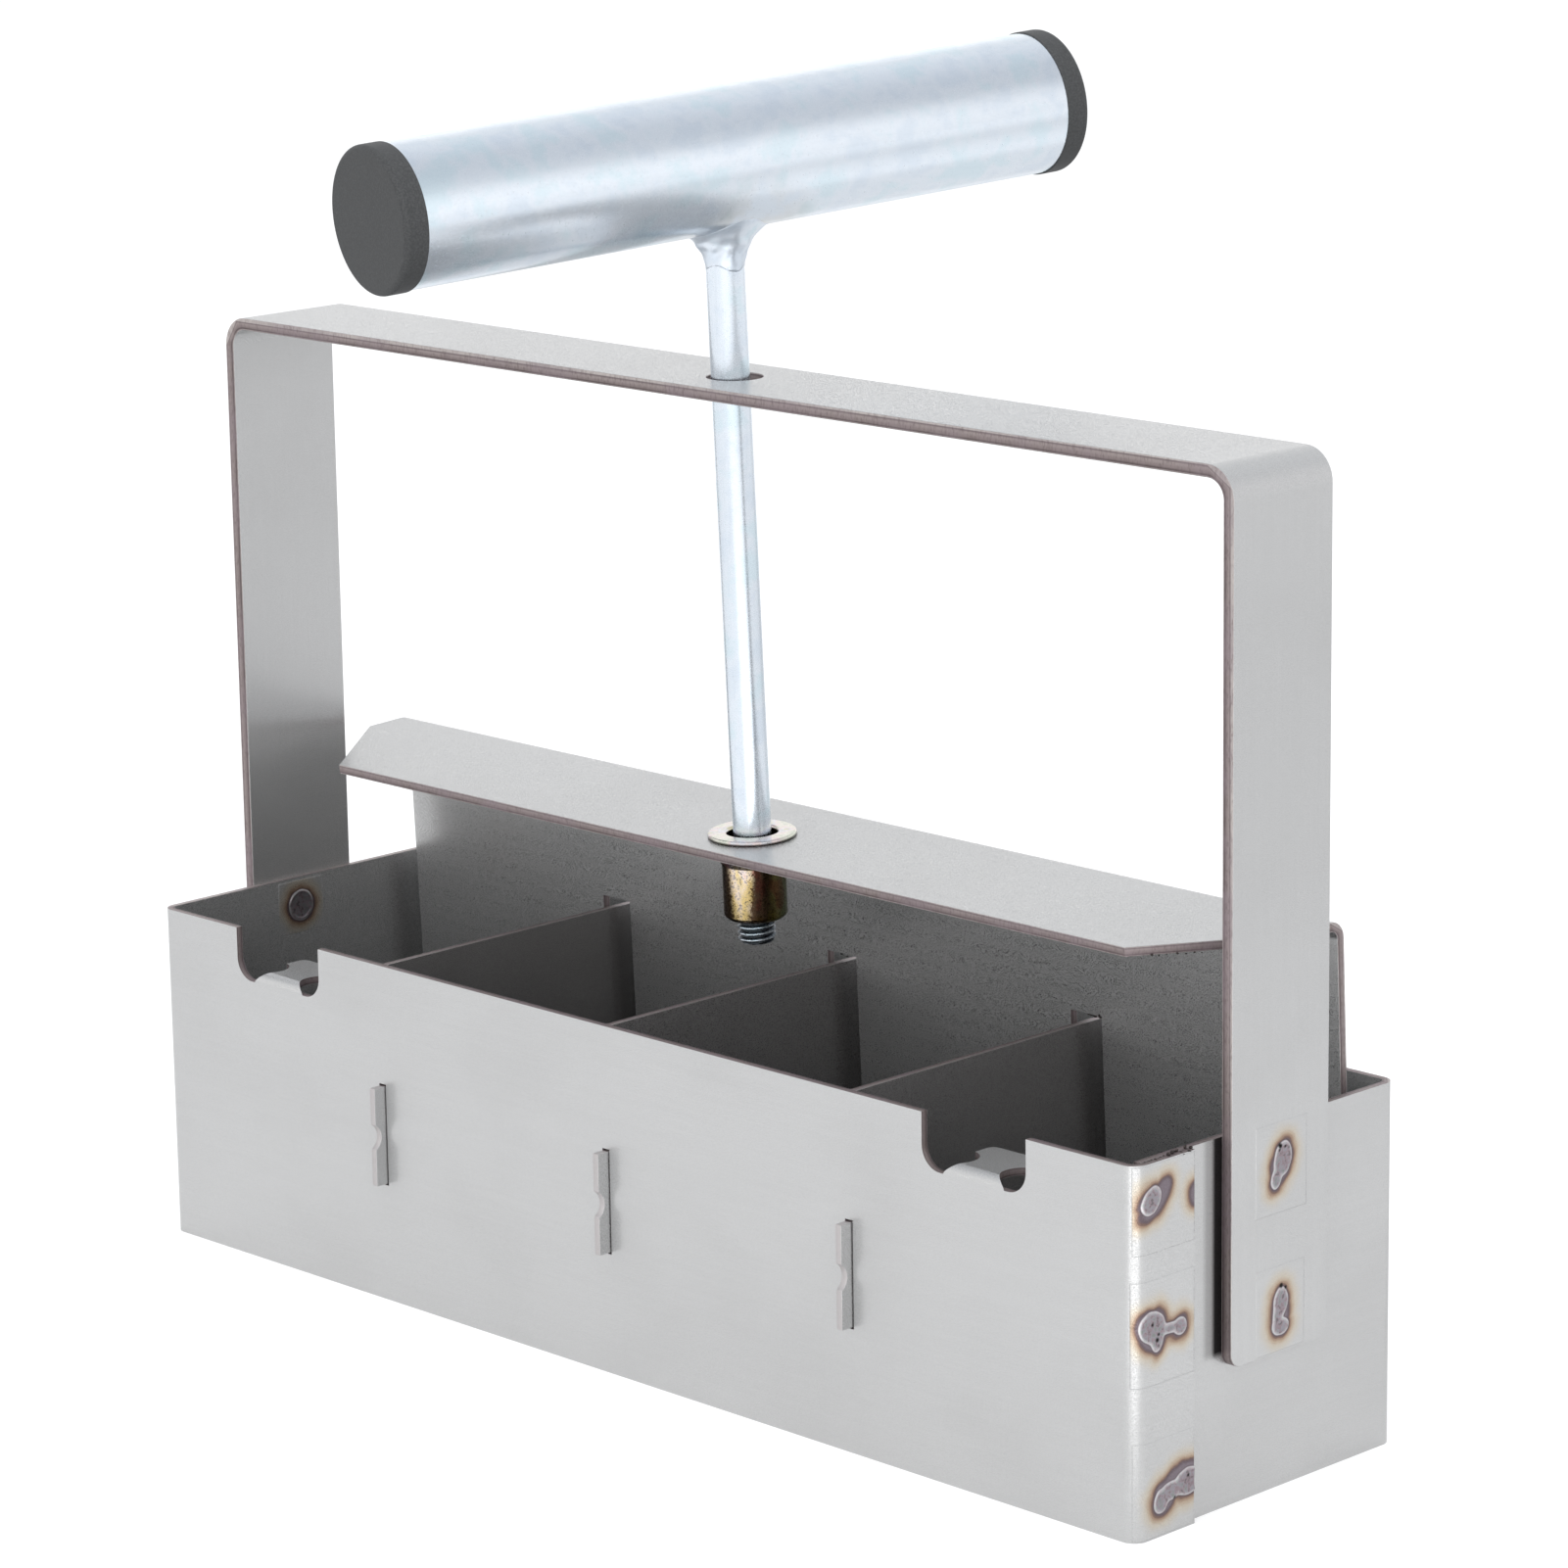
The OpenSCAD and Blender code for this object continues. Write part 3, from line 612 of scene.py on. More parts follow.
def mould_skin(sizes):
    """Side test for the mould's sheet: its walls, lap flange and stop tabs."""
    low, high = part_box("mould_shell")
    wall_y, end_x, bend_r, half = -low[1], -low[0], sizes.corner_r, sizes.sheet_t / 2

    def side(place):
        if abs(abs(place.x) - sizes.stop_x) < sizes.stop_w / 2 + 0.1 * MM and place.y < 0:
            if place.z > sizes.stop_z - sizes.stop_r:
                start_y, start_z = sizes.stop_r - wall_y, sizes.stop_z - sizes.stop_r
                return bent_side(start_y - place.y, place.z - start_z, sizes.stop_r, half)
        lapped = place.x > end_x + 0.02 * MM or (
            place.x > high[0] - bend_r and place.y < bend_r - wall_y - 0.02 * MM
        )
        reach = high[0] if lapped else end_x
        return bent_side(abs(place.x) - (reach - bend_r), abs(place.y) - (wall_y - bend_r), bend_r, half)

    return side


def bail_skin(sizes):
    """Side test for the bail's strap."""
    _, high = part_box("bail")
    bend_r = sizes.bail_r
    return lambda place: bent_side(
        abs(place.x) - (high[0] - bend_r), place.z - (high[2] - bend_r), bend_r, sizes.strap_t / 2
    )


def pusher_skin(sizes):
    """Side test for the pusher's sheet, in its own upright frame."""
    low, high = upright_box("pusher_frame")
    bend_r = sizes.pusher_r

    def side(place):
        own = UPRIGHT @ place
        past = max(own.z - (high.z - bend_r), low.z + bend_r - own.z)
        return bent_side(own.y - (high.y - bend_r), past, bend_r, sizes.pusher_t / 2)

    return side


def flat_skin(node, axis, matrix):
    """Side test for a flat sheet that is thin along one axis."""
    low, high = span(matrix @ v.co for v in frame["nodes"][node].data.vertices)
    middle = (low[axis] + high[axis]) / 2
    return lambda place: (matrix @ place)[axis] - middle


class DressMould(bpy.types.Operator):
    """Rolled sheet and cut edges on the mould, its dividers and the bail"""

    bl_idname = "blocker.dress_mould"
    bl_label = "Dress Mould"

    def execute(self, context):
        sizes = context.scene.sheet_settings
        finish = (sizes.sheet_code, sizes.roughness)
        mould_low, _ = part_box("mould_shell")
        strap_low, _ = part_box("bail")
        edge = cut_edge("laser_cut_stainless_edge", -mould_low[1])
        # The walls beside each bail leg get a painted shadow and reflection of the strap's edge
        strap_shade = (strap_low[1], -mould_low[0], strap_low[2] + 1.5 * MM)
        walls = rolled_stainless("rolled_stainless_walls", (0.05, 0.05, 3.2), *finish, strap_shade)
        # The dividers get a painted shade inside the mould
        inner_y = -mould_low[1] - sizes.sheet_t
        plates = rolled_stainless("rolled_stainless_dividers", (2.0, 0.05, 3.2), *finish, inner_y=inner_y)
        strap = rolled_stainless("rolled_stainless_strap", (0.05, 3.2, 0.05), *finish)
        dressed_sheet("mould_shell", mould_skin(sizes), walls, edge, sizes.edge_break)
        for name in ("divider_left", "divider_middle", "divider_right"):
            dressed_sheet(name, flat_skin(name, 0, Matrix()), plates, edge, sizes.edge_break)
        dressed_sheet("bail", bail_skin(sizes), strap, edge, 2 * sizes.edge_break)
        return {"FINISHED"}


class DressPusher(bpy.types.Operator):
    """Rolled sheet and cut edges on the pusher and its press plates"""

    bl_idname = "blocker.dress_pusher"
    bl_label = "Dress Pusher"

    def execute(self, context):
        sizes = context.scene.sheet_settings
        edge = bpy.data.materials["laser_cut_stainless_edge"]
        finish = (sizes.sheet_code, sizes.roughness)
        sheet = rolled_stainless("rolled_stainless_pusher", (0.05, 3.2, 3.2), *finish)
        dressed_sheet("pusher_frame", pusher_skin(sizes), sheet, edge, sizes.edge_break)
        for i in CELLS:
            name = "press_plate_%d" % i
            dressed_sheet(name, flat_skin(name, 2, UPRIGHT), sheet, edge, sizes.edge_break)
        return {"FINISHED"}


# Threads and slag beads


def new_tree(name, inputs):
    """Geometry Nodes tree with named inputs. Returns it and their sockets."""
    tree = bpy.data.node_groups.new(name, "GeometryNodeTree")
    for label, kind in inputs.items():
        tree.interface.new_socket(label, in_out="INPUT", socket_type="NodeSocket" + kind)
    tree.interface.new_socket("Geometry", in_out="OUTPUT", socket_type="NodeSocketGeometry")
    return tree, add(tree, "NodeGroupInput", out=None)


def close_tree(tree, geometry, material):
    """Ends a tree: shades its geometry smooth, makes it real and gives its material."""
    shaded = add(tree, "GeometryNodeSetShadeSmooth", {"Geometry": geometry})
    real = add(tree, "GeometryNodeRealizeInstances", {"Geometry": shaded})
    painted = add(tree, "GeometryNodeSetMaterial", {"Geometry": real, "Material": material})
    add(tree, "NodeGroupOutput", {"Geometry": painted}, out=None)
    return tree


# Share of the length at both ends of a thread that closes on the axis
END_SHARE = 0.0001


def thread_nodes():
    """Node tree of a right-handed screw thread: a sheet rolled round the axis whose
    radius follows the turn and the height, closed at both ends."""
    inputs = dict.fromkeys(("Root Radius", "Crest Height", "Pitch", "Bottom", "Top", "End Radius"), "Float")
    inputs.update({"Rows": "Int", "Sides": "Int", "Material": "Material"})
    tree, given = new_tree("screw_thread", inputs)
    grid = add(
        tree,
        "GeometryNodeMeshGrid",
        {"Size X": 1.0, "Size Y": 1.0, "Vertices X": given["Sides"], "Vertices Y": given["Rows"]},
    )
    place = add(tree, "axes", add(tree, "GeometryNodeInputPosition"))
    turn = add(tree, "ADD", place["X"], 0.5)
    share = add(tree, "ADD", place["Y"], 0.5)
    length = add(tree, "SUBTRACT", given["Top"], given["Bottom"])
    height = add(tree, "ADD", add(tree, "MULTIPLY", share, length), given["Bottom"])
    phase = add(tree, "FRACT", add(tree, "SUBTRACT", add(tree, "DIVIDE", height, given["Pitch"]), turn))
    flank = add(tree, "ABSOLUTE", add(tree, "SUBTRACT", add(tree, "MULTIPLY", phase, 2.0), 1.0))
    crest = add(tree, "range", flank, 0.12, 0.86, interpolation_type="SMOOTHSTEP")
    radius = add(tree, "ADD", add(tree, "MULTIPLY", crest, given["Crest Height"]), given["Root Radius"])
    to_end = add(
        tree,
        "MINIMUM",
        add(tree, "SUBTRACT", height, given["Bottom"]),
        add(tree, "SUBTRACT", given["Top"], height),
    )
    chamfered = add(tree, "MINIMUM", radius, add(tree, "ADD", to_end, given["End Radius"]))
    from_end = add(tree, "MINIMUM", share, add(tree, "SUBTRACT", 1.0, share))
    open_rows = add(tree, "GREATER_THAN", from_end, END_SHARE)
    closed = add(tree, "MULTIPLY", chamfered, open_rows)
    angle = add(tree, "MULTIPLY", turn, math.tau)
    wound = add(
        tree,
        "ShaderNodeCombineXYZ",
        add(tree, "MULTIPLY", add(tree, "COSINE", angle), closed),
        add(tree, "MULTIPLY", add(tree, "SINE", angle), closed),
        height,
    )
    rolled = add(tree, "GeometryNodeSetPosition", {"Geometry": grid, "Position": wound})
    seamed = add(tree, "GeometryNodeMergeByDistance", {"Geometry": rolled, "Distance": 0.001 * MM})
    return close_tree(tree, seamed, given["Material"])


def dross_nodes():
    """Node tree of slag beads: small lumps strewn along a straight line."""
    inputs = {"Start": "Vector", "End": "Vector", "Count": "Int", "Bead Radius": "Float", "Seed": "Int"}
    tree, given = new_tree("slag_beads", {**inputs, "Material": "Material"})
    line = add(
        tree,
        "GeometryNodeMeshLine",
        {"Count": given["Count"], "Start Location": given["Start"], "Offset": given["End"]},
        mode="END_POINTS",
    )
    spread = add(tree, "MULTIPLY", given["Bead Radius"], 0.9)
    strewn = add(
        tree,
        "FunctionNodeRandomValue",
        {"Min": (-1, -1, -1), "Max": (1, 1, 1), "Seed": given["Seed"]},
        data_type="FLOAT_VECTOR",
    )
    shift = add(tree, "ShaderNodeVectorMath", {0: strewn, 3: spread}, operation="SCALE")
    moved = add(tree, "GeometryNodeSetPosition", {"Geometry": line, "Offset": shift})
    bead = add(tree, "GeometryNodeMeshIcoSphere", {"Radius": given["Bead Radius"], "Subdivisions": 2})
    sizes = add(
        tree,
        "FunctionNodeRandomValue",
        {"Min": (0.4, 0.4, 0.3), "Max": (1.2, 1.2, 0.9), "Seed": given["Seed"]},
        data_type="FLOAT_VECTOR",
    )
    placed = add(tree, "GeometryNodeInstanceOnPoints", {"Points": moved, "Instance": bead, "Scale": sizes})
    return close_tree(tree, placed, given["Material"])


def made_by(tree, values):
    """Mesh that a Geometry Nodes tree makes from named inputs."""
    holder = bpy.data.objects.new(tree.name + "_holder", bpy.data.meshes.new(tree.name))
    bpy.context.scene.collection.objects.link(holder)
    modifier = holder.modifiers.new(tree.name, "NODES")
    modifier.node_group = tree
    for item in tree.interface.items_tree:
        if item.in_out == "INPUT" and item.name in values:
            modifier[item.identifier] = values[item.name]
    mesh = baked(holder)
    bpy.data.objects.remove(holder)
    return mesh


ROWS_PER_TURN = 14
THREAD_SIDES = 49
DOME_STEPS = 12


def thread_mesh(tree, radius, depth, pitch, bottom, top, material):
    """Screw thread about the Z axis, with its crests at the given radius."""
    return made_by(
        tree,
        {
            "Root Radius": radius - depth,
            "Crest Height": depth,
            "Pitch": pitch,
            "Bottom": bottom,
            "Top": top,
            "End Radius": radius - depth,
            "Rows": int((top - bottom) / pitch * ROWS_PER_TURN) + 2,
            "Sides": THREAD_SIDES,
            "Material": material,
        },
    )


def turned(profile, sides=96):
    """Corners and faces of a closed shape turned about the Z axis. The profile is
    (radius, height) points from the bottom pole to the top pole."""
    verts, faces = [], []
    for radius, height in profile:
        for k in range(sides):
            angle = math.tau * k / sides
            verts.append(Vector((radius * math.cos(angle), radius * math.sin(angle), height)))
    for row in range(len(profile) - 1):
        for k in range(sides):
            low, high = row * sides, (row + 1) * sides
            faces.append((low + k, low + (k + 1) % sides, high + (k + 1) % sides, high + k))
    return verts, faces


def joined(name, parts):
    """One mesh from several, each with its own placing matrix."""
    bm = bmesh.new()
    for mesh, matrix in parts:
        mesh.transform(matrix)
        bm.from_mesh(mesh)
    bmesh.ops.remove_doubles(bm, verts=bm.verts, dist=0.0005 * MM)
    mesh = bpy.data.meshes.new(name)
    bm.to_mesh(mesh)
    bm.free()
    for source, _ in parts:
        bpy.data.meshes.remove(source)
    return mesh


class DressFasteners(bpy.types.Operator):
    """Zinc plating on the studs, their nuts and the rivet nut, and the studs' threads"""

    bl_idname = "blocker.dress_fasteners"
    bl_label = "Dress Fasteners"

    def execute(self, context):
        sizes = context.scene.fastener_settings
        plating = bright_zinc("bright_zinc_fasteners", (1.5, 1.5, 1.5), 0.25)
        low, high = upright_box("rivet_nut")
        middle = (low + high) / 2
        foot = HUNG @ Vector((middle.x, middle.y, upright_box("pusher_frame")[1].z))
        up = HUNG.to_3x3() @ Vector((0, 0, 1))
        # Way that the rivet nut barrel's painted highlight faces
        highlight_way = (0.32, -0.947, 0.0)
        film = yellow_zinc("yellow_chromated_zinc", tuple(foot), tuple(up), highlight_way, sizes.rivet_r)
        smooth_copy("rivet_nut", film, 0.15 * MM)
        tree = thread_nodes()
        for i in CELLS:
            node = "dimple_stud_%d" % i
            low, high = upright_box(node)
            middle = (low + high) / 2
            dome_top = low.z + sizes.stud_head_h
            radius = sizes.stud_d / 2 - 0.05 * MM
            screw = thread_mesh(
                tree, radius, sizes.stud_depth, sizes.stud_pitch, dome_top - 0.1 * MM, high.z, plating
            )
            dome_r = ((high.x - low.x) ** 2 / 4 + sizes.stud_head_h**2) / (2 * sizes.stud_head_h)
            arc = math.asin(min(1.0, (high.x - low.x) / 2 / dome_r))
            turns = [arc * k / DOME_STEPS for k in range(DOME_STEPS + 1)]
            profile = [(dome_r * math.sin(a), low.z + dome_r * (1 - math.cos(a))) for a in turns]
            profile += [(radius, dome_top), (0.0, dome_top)]
            head = mesh_from(node + "_head", *turned(profile, 64))
            head.materials.append(plating)
            seat = HUNG @ Matrix.Translation((middle.x, middle.y, 0))
            mesh = joined(node + "_threaded", [(screw, seat), (head, seat.copy())])
            new_piece("_dressed", mesh, node, [plating])
            smooth_copy("stud_nut_%d" % i, plating, 0.25 * MM)
        return {"FINISHED"}


# Handle


def tube_axis():
    """Middle of the handle tube, its direction towards the front end and its outer
    radius, all in the pusher's own upright frame."""
    front, rear = ((a + b) / 2 for a, b in (upright_box("end_cap_front"), upright_box("end_cap_rear")))
    ahead = (front - rear).normalized()
    places = {tuple(round(c, 7) for c in UPRIGHT @ v.co) for v in frame["nodes"]["handle_tube"].data.vertices}
    along = {place: Vector(place).dot(ahead) for place in places}
    first, last = min(along.values()), max(along.values())

    def ring(limit):
        chosen = [Vector(p) for p, value in along.items() if abs(value - limit) < 0.6 * MM]
        return sum(chosen, Vector()) / len(chosen), chosen

    front, rim = ring(last)
    rear, _ = ring(first)
    ahead = (front - rear).normalized()
    middle = (front + rear) / 2
    radius = max(((p - middle) - (p - middle).dot(ahead) * ahead).length for p in rim)
    return middle, ahead, radius


def tube_underside(middle, ahead, radius, x, y):
    """Height of the tube's underside over a place in the upright frame."""
    offset = Vector((x, y, 0)) - Vector((middle.x, middle.y, 0))
    flat = offset - offset.dot(ahead) * ahead
    rise = Vector((0, 0, 1)) - ahead.z * ahead
    a, b, c = rise.dot(rise), 2 * flat.dot(rise), flat.dot(flat) - radius**2
    return middle.z + (-b - math.sqrt(max(0.0, b * b - 4 * a * c))) / (2 * a)


# Weld collar: corners round it and from its foot to its rim, how far both wander as
# shares, the powers that curve its spread and its height, and the height of its laps
COLLAR_COLUMNS = 120
COLLAR_ROWS = 22
RIM_WANDER = 0.12
FOOT_WANDER = 0.16
SPREAD_CURVE = 1.7
HEIGHT_CURVE = 1.35
LAP_H = 0.3 * MM


def weld_collar_mesh(axis, rod_r, reach, drop):
    """Hollow fillet of weld metal from the rod to the tube, lapped in waves."""
    middle, ahead, radius = axis
    verts, faces = [], []
    for k in range(COLLAR_COLUMNS):
        angle = math.tau * k / COLLAR_COLUMNS
        way = Vector((math.cos(angle), math.sin(angle), 0))
        wave = noise.noise(Vector((way.x * 1.3, way.y * 1.3, 4.0)))
        out = reach * (1 + RIM_WANDER * wave)
        foot_drop = drop * (1 + FOOT_WANDER * wave)
        low = tube_underside(middle, ahead, radius, middle.x, middle.y) - foot_drop
        loop = []
        for j in range(COLLAR_ROWS):
            share = j / (COLLAR_ROWS - 1)
            spread = rod_r + (out - rod_r) * share**SPREAD_CURVE
            x, y = middle.x + way.x * spread, middle.y + way.y * spread
            roof = tube_underside(middle, ahead, radius, x, y)
            lap = noise.noise(Vector((way.x * 2.2, way.y * 2.2, share * 5.0)))
            height = low + (roof - low) * (1 - (1 - share) ** HEIGHT_CURVE)
            lump = LAP_H * lap * math.sin(math.pi * share)
            loop.append(Vector((x + way.x * lump, y + way.y * lump, height)))
        edge = loop[-1]
        loop.append(Vector((edge.x, edge.y, edge.z + 0.25 * MM)))
        core = rod_r - 0.3 * MM
        x, y = middle.x + way.x * core, middle.y + way.y * core
        loop.append(Vector((x, y, tube_underside(middle, ahead, radius, x, y) + 0.4 * MM)))
        loop.append(Vector((x, y, low)))
        verts += loop
    length = len(verts) // COLLAR_COLUMNS
    for k in range(COLLAR_COLUMNS):
        here, beside = k * length, (k + 1) % COLLAR_COLUMNS * length
        for j in range(length):
            after = (j + 1) % length
            faces.append((here + j, beside + j, beside + after, here + after))
    mesh = mesh_from("handle_weld_collar", verts, faces)
    mesh.transform(HUNG)
    return mesh


class DressHandle(bpy.types.Operator):
    """Zinc-plated tube, threaded rod and weld collar, and black plastic caps"""

    bl_idname = "blocker.dress_handle"
    bl_label = "Dress Handle"

    def execute(self, context):
        sizes = context.scene.fastener_settings
        axis = tube_axis()
        middle, _, tube_r = axis
        low, high = upright_box("handle_rod")
        rod_r = (high.x - low.x) / 2
        joint = HUNG @ Vector((middle.x, middle.y, middle.z - tube_r))
        tube = bright_zinc("bright_zinc_tube", (0.9, 0.03, 0.9), 0.22, tuple(joint), worn=0.35)
        # The rod's thread roots get painted shade
        roots = (tuple(PIVOT), tuple(HUNG.to_3x3() @ Vector((0, 0, 1))), rod_r)
        rod = bright_zinc("bright_zinc_rod", (1.6, 1.6, 0.05), 0.2, roots=roots, worn=0.7)
        bead = bright_zinc("bright_zinc_weld", (0.8, 0.8, 0.8), 0.34, worn=0.6)
        smooth_copy("handle_tube", tube, 0.2 * MM)
        plastic = moulded_polyethylene("moulded_polyethylene_caps")
        smooth_copy("end_cap_front", plastic, 0.15 * MM)
        smooth_copy("end_cap_rear", plastic, 0.15 * MM)
        collar = weld_collar_mesh(axis, rod_r, sizes.weld_reach, sizes.weld_drop)
        new_piece("_dressed", collar, "handle_weld", [bead])
        plate_top = upright_box("pusher_frame")[1].z
        thread_top = plate_top - 0.6 * MM
        tree = bpy.data.node_groups["screw_thread"]
        screw = thread_mesh(tree, rod_r, sizes.rod_depth, sizes.rod_pitch, low.z, thread_top, rod)
        shoulder = rod_r - sizes.rod_depth
        profile = [
            (0.0, thread_top - 1.0 * MM),
            (shoulder, thread_top - 1.0 * MM),
            (shoulder, thread_top - 0.1 * MM),
            (rod_r, thread_top + 0.5 * MM),
            (rod_r, high.z - 0.3 * MM),
            (rod_r - 0.3 * MM, high.z),
            (0.0, high.z),
        ]
        shaft = mesh_from("rod_shaft", *turned(profile))
        shaft.materials.append(rod)
        centre = Matrix.Translation(((low.x + high.x) / 2, (low.y + high.y) / 2, 0))
        mesh = joined("handle_rod_threaded", [(screw, HUNG @ centre), (shaft, HUNG @ centre)])
        mesh.set_sharp_from_angle(angle=math.radians(40))
        new_piece("_dressed", mesh, "handle_rod", [rod])
        return {"FINISHED"}


# Spot welds

# In millimetres: how widely melted blobs run together, the distance that counts as
# far off, the spacing of a patch's corners, how far a melt's rim wanders, the
# height and width of the ridge along it, the width over which the melt rises, the
# depth of a pit and how far a patch reaches into the sheet
BLOB_BLEND = 0.28
FAR_OFF = 30.0
PATCH_STEP = 0.16
WANDER = 0.1
RIDGE_H = 0.12
RIDGE_W = 0.22
RISE_W = 0.25
PIT_DEPTH = 0.13
SUNK = 0.3


def blob_distance(blobs, u, v):
    """Distance in millimetres from the rim of some leaned ellipses that melt
    together. Each is (u, v, half width, half height, lean in degrees)."""
    pull = 0.0
    for cu, cv, wide, tall, lean in blobs:
        turn = math.radians(lean)
        a = (u - cu) * math.cos(turn) - (v - cv) * math.sin(turn)
        b = (u - cu) * math.sin(turn) + (v - cv) * math.cos(turn)
        reach = math.hypot(a / wide, b / tall)
        distance = (reach - 1) * min(wide, tall) if reach < 1 else (reach - 1) * math.hypot(a, b) / reach
        pull += math.exp(-min(distance, FAR_OFF) / BLOB_BLEND)
    return -BLOB_BLEND * math.log(pull) if pull > 0 else FAR_OFF


def weld_patch(verts, faces, marks, surface, region, spot):
    """Adds one closed patch of melted sheet. surface(u, v) gives a place and the
    way out of the sheet, region the patch's limits and spot its blobs. marks
    collects each corner's melt, heat and soot."""
    u0, u1, v0, v1 = region
    nu, nv = int((u1 - u0) / PATCH_STEP) + 1, int((v1 - v0) / PATCH_STEP) + 1
    start = len(verts)
    rings = []
    for j in range(nv):
        for i in range(nu):
            u, v = u0 + (u1 - u0) * i / (nu - 1), v0 + (v1 - v0) * j / (nv - 1)
            wander = WANDER * noise.noise(Vector((u * 0.7, v * 0.7, start * 0.1)))
            melt = blob_distance(spot["melt"], u, v) + wander if spot["melt"] else 5.0
            heat = min(melt - spot.get("spread", 0.3), blob_distance(spot["heat"], u, v)) + wander
            soot = max((1 - math.hypot(u - x, v - y) / r for x, y, r in spot["soot"]), default=0.0)
            place, way = surface(u, v)
            ridge = RIDGE_H * math.exp(-(((melt + 0.3) / RIDGE_W) ** 2))
            pool = 0.05 + 0.05 * noise.noise(Vector((u * 1.1, v * 1.1, 7.0))) if melt < 0 else 0.0
            pits = (((u - x) / a, (v - y) / b) for x, y, a, b in spot["pits"])
            sunk = sum(-PIT_DEPTH * math.exp(-(a**2) - b**2) for a, b in pits)
            ease = min(1.0, max(0.0, -melt / RISE_W))
            height = 0.01 + ridge + ease * (pool + sunk) + 0.08 * max(0.0, soot)
            verts.append((place + way * max(0.005, height)) * MM)
            marks.append((melt, heat, min(1.0, max(0.0, soot * 2.2))))
            if i in (0, nu - 1) or j in (0, nv - 1):
                rings.append((i, j, (place - way * SUNK) * MM))
    (a, _), (b, _), (c, _) = surface(u0, v0), surface(u1, v0), surface(u0, v1)
    outward = (b - a).cross(c - a).dot(surface(u0, v0)[1]) > 0
    for j in range(nv - 1):
        for i in range(nu - 1):
            here, above = start + j * nu + i, start + (j + 1) * nu + i
            quad = [here, here + 1, above + 1, above]
            faces.append(quad if outward else quad[::-1])
    loop = [(i, 0) for i in range(nu)] + [(nu - 1, j) for j in range(1, nv)]
    loop += [(i, nv - 1) for i in range(nu - 2, -1, -1)] + [(0, j) for j in range(nv - 2, 0, -1)]
    below = {(i, j): place for i, j, place in rings}
    under = len(verts)
    for corner in loop:
        verts.append(below[corner])
        marks.append((5.0, 5.0, 0.0))
    for k, (i, j) in enumerate(loop):
        i2, j2 = loop[(k + 1) % len(loop)]
        wall = [start + j * nu + i, under + k, under + (k + 1) % len(loop), start + j2 * nu + i2]
        faces.append(wall if outward else wall[::-1])
    bottom = list(range(under, under + len(loop)))
    faces.append(bottom[::-1] if outward else bottom)


def box_mm(node):
    """Lowest and highest corner of a node in millimetres."""
    low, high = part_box(node)
    return Vector(low) / MM, Vector(high) / MM


def flange_surface(bend_r):
    """Outer face of the lap flange, unrolled: u is the depth along it and runs on
    round the bend, v the height."""
    low, high = box_mm("mould_shell")
    face_x, bend_y = high.x, low.y + bend_r

    def face(u, v):
        if u >= bend_y:
            return Vector((face_x, u, v)), Vector((1, 0, 0))
        angle = (bend_y - u) / bend_r
        way = Vector((math.cos(angle), -math.sin(angle), 0))
        return Vector((face_x - bend_r, bend_y, v)) + way * bend_r, way

    return face


def end_surface(face_x, side):
    """Flat face square to X at a place, facing side (1 or -1)."""
    return lambda u, v: (Vector((face_x, u, v)), Vector((side, 0, 0)))


FLANGE_SPOTS = (
    (
        (-29.9, -17.25, 43.5, 56.8),
        {
            "melt": [(-26.5, 51.4, 1.75, 2.35, 40)],
            "heat": [(-25.7, 51.1, 1.75, 4.1, 48), (-17.3, 50.4, 0.9, 1.7, 0), (-23.4, 52.8, 1.0, 1.3, 30)],
            "soot": [],
            "pits": [(-25.6, 51.8, 0.8, 1.2), (-26.4, 50.4, 0.5, 0.5)],
        },
    ),
    (
        (-30.2, -17.25, 23.5, 39.5),
        {
            "melt": [
                (-26.3, 32.3, 2.7, 2.4, 20),
                (-25.4, 31.2, 1.45, 2.75, 0),
                (-20.3, 31.15, 1.35, 1.35, 0),
                (-22.6, 31.4, 1.7, 0.8, 0),
            ],
            "heat": [(-26.0, 31.8, 2.9, 3.2, 0)],
            "soot": [(-25.3, 30.2, 0.45), (-26.3, 32.7, 0.35), (-25.0, 31.0, 0.3)],
            "pits": [(-25.8, 31.4, 0.7, 1.5), (-27.0, 33.0, 0.8, 0.8), (-20.4, 31.2, 0.6, 0.7)],
        },
    ),
    (
        (-29.9, -17.25, 0.2, 15.0),
        {
            "melt": [(-24.5, 5.4, 1.5, 1.8, 10), (-22.4, 6.5, 1.9, 1.45, 0), (-18.6, 7.0, 2.9, 2.1, 0)],
            "heat": [(-20.0, 8.4, 3.9, 1.7, -14), (-23.6, 5.9, 2.4, 2.7, 30)],
            "soot": [(-18.6, 7.9, 0.35), (-21.6, 5.3, 0.35)],
            "pits": [(-24.4, 5.2, 0.7, 0.9), (-22.0, 6.9, 0.6, 0.6), (-19.0, 6.6, 0.9, 0.8)],
        },
    ),
)
LEG_SPOTS = (
    (
        (-4.6, 6.8, 43.5, 57.4),
        {
            "melt": [(1.4, 51.6, 1.95, 2.7, 14), (-0.1, 48.7, 1.1, 1.45, 10)],
            "heat": [(1.1, 51.0, 2.1, 3.7, 20)],
            "soot": [(0.75, 53.7, 0.5), (0.6, 53.1, 0.35), (1.9, 53.4, 0.3)],
            "pits": [(1.2, 51.3, 0.8, 1.6), (0.2, 49.0, 0.5, 0.7)],
            "spread": 0.25,
        },
    ),
    (
        (-4.4, 6.4, 22.2, 35.4),
        {
            "melt": [(1.1, 29.7, 1.6, 2.3, 6), (1.05, 25.9, 1.85, 1.3, 0), (0.3, 27.5, 0.9, 1.6, 0)],
            "heat": [(1.0, 28.4, 2.0, 3.9, 2)],
            "soot": [(1.2, 32.2, 0.5), (2.2, 31.7, 0.35)],
            "pits": [(1.2, 28.6, 0.6, 0.9), (1.2, 25.9, 0.9, 0.6)],
            "spread": 0.25,
        },
    ),
)
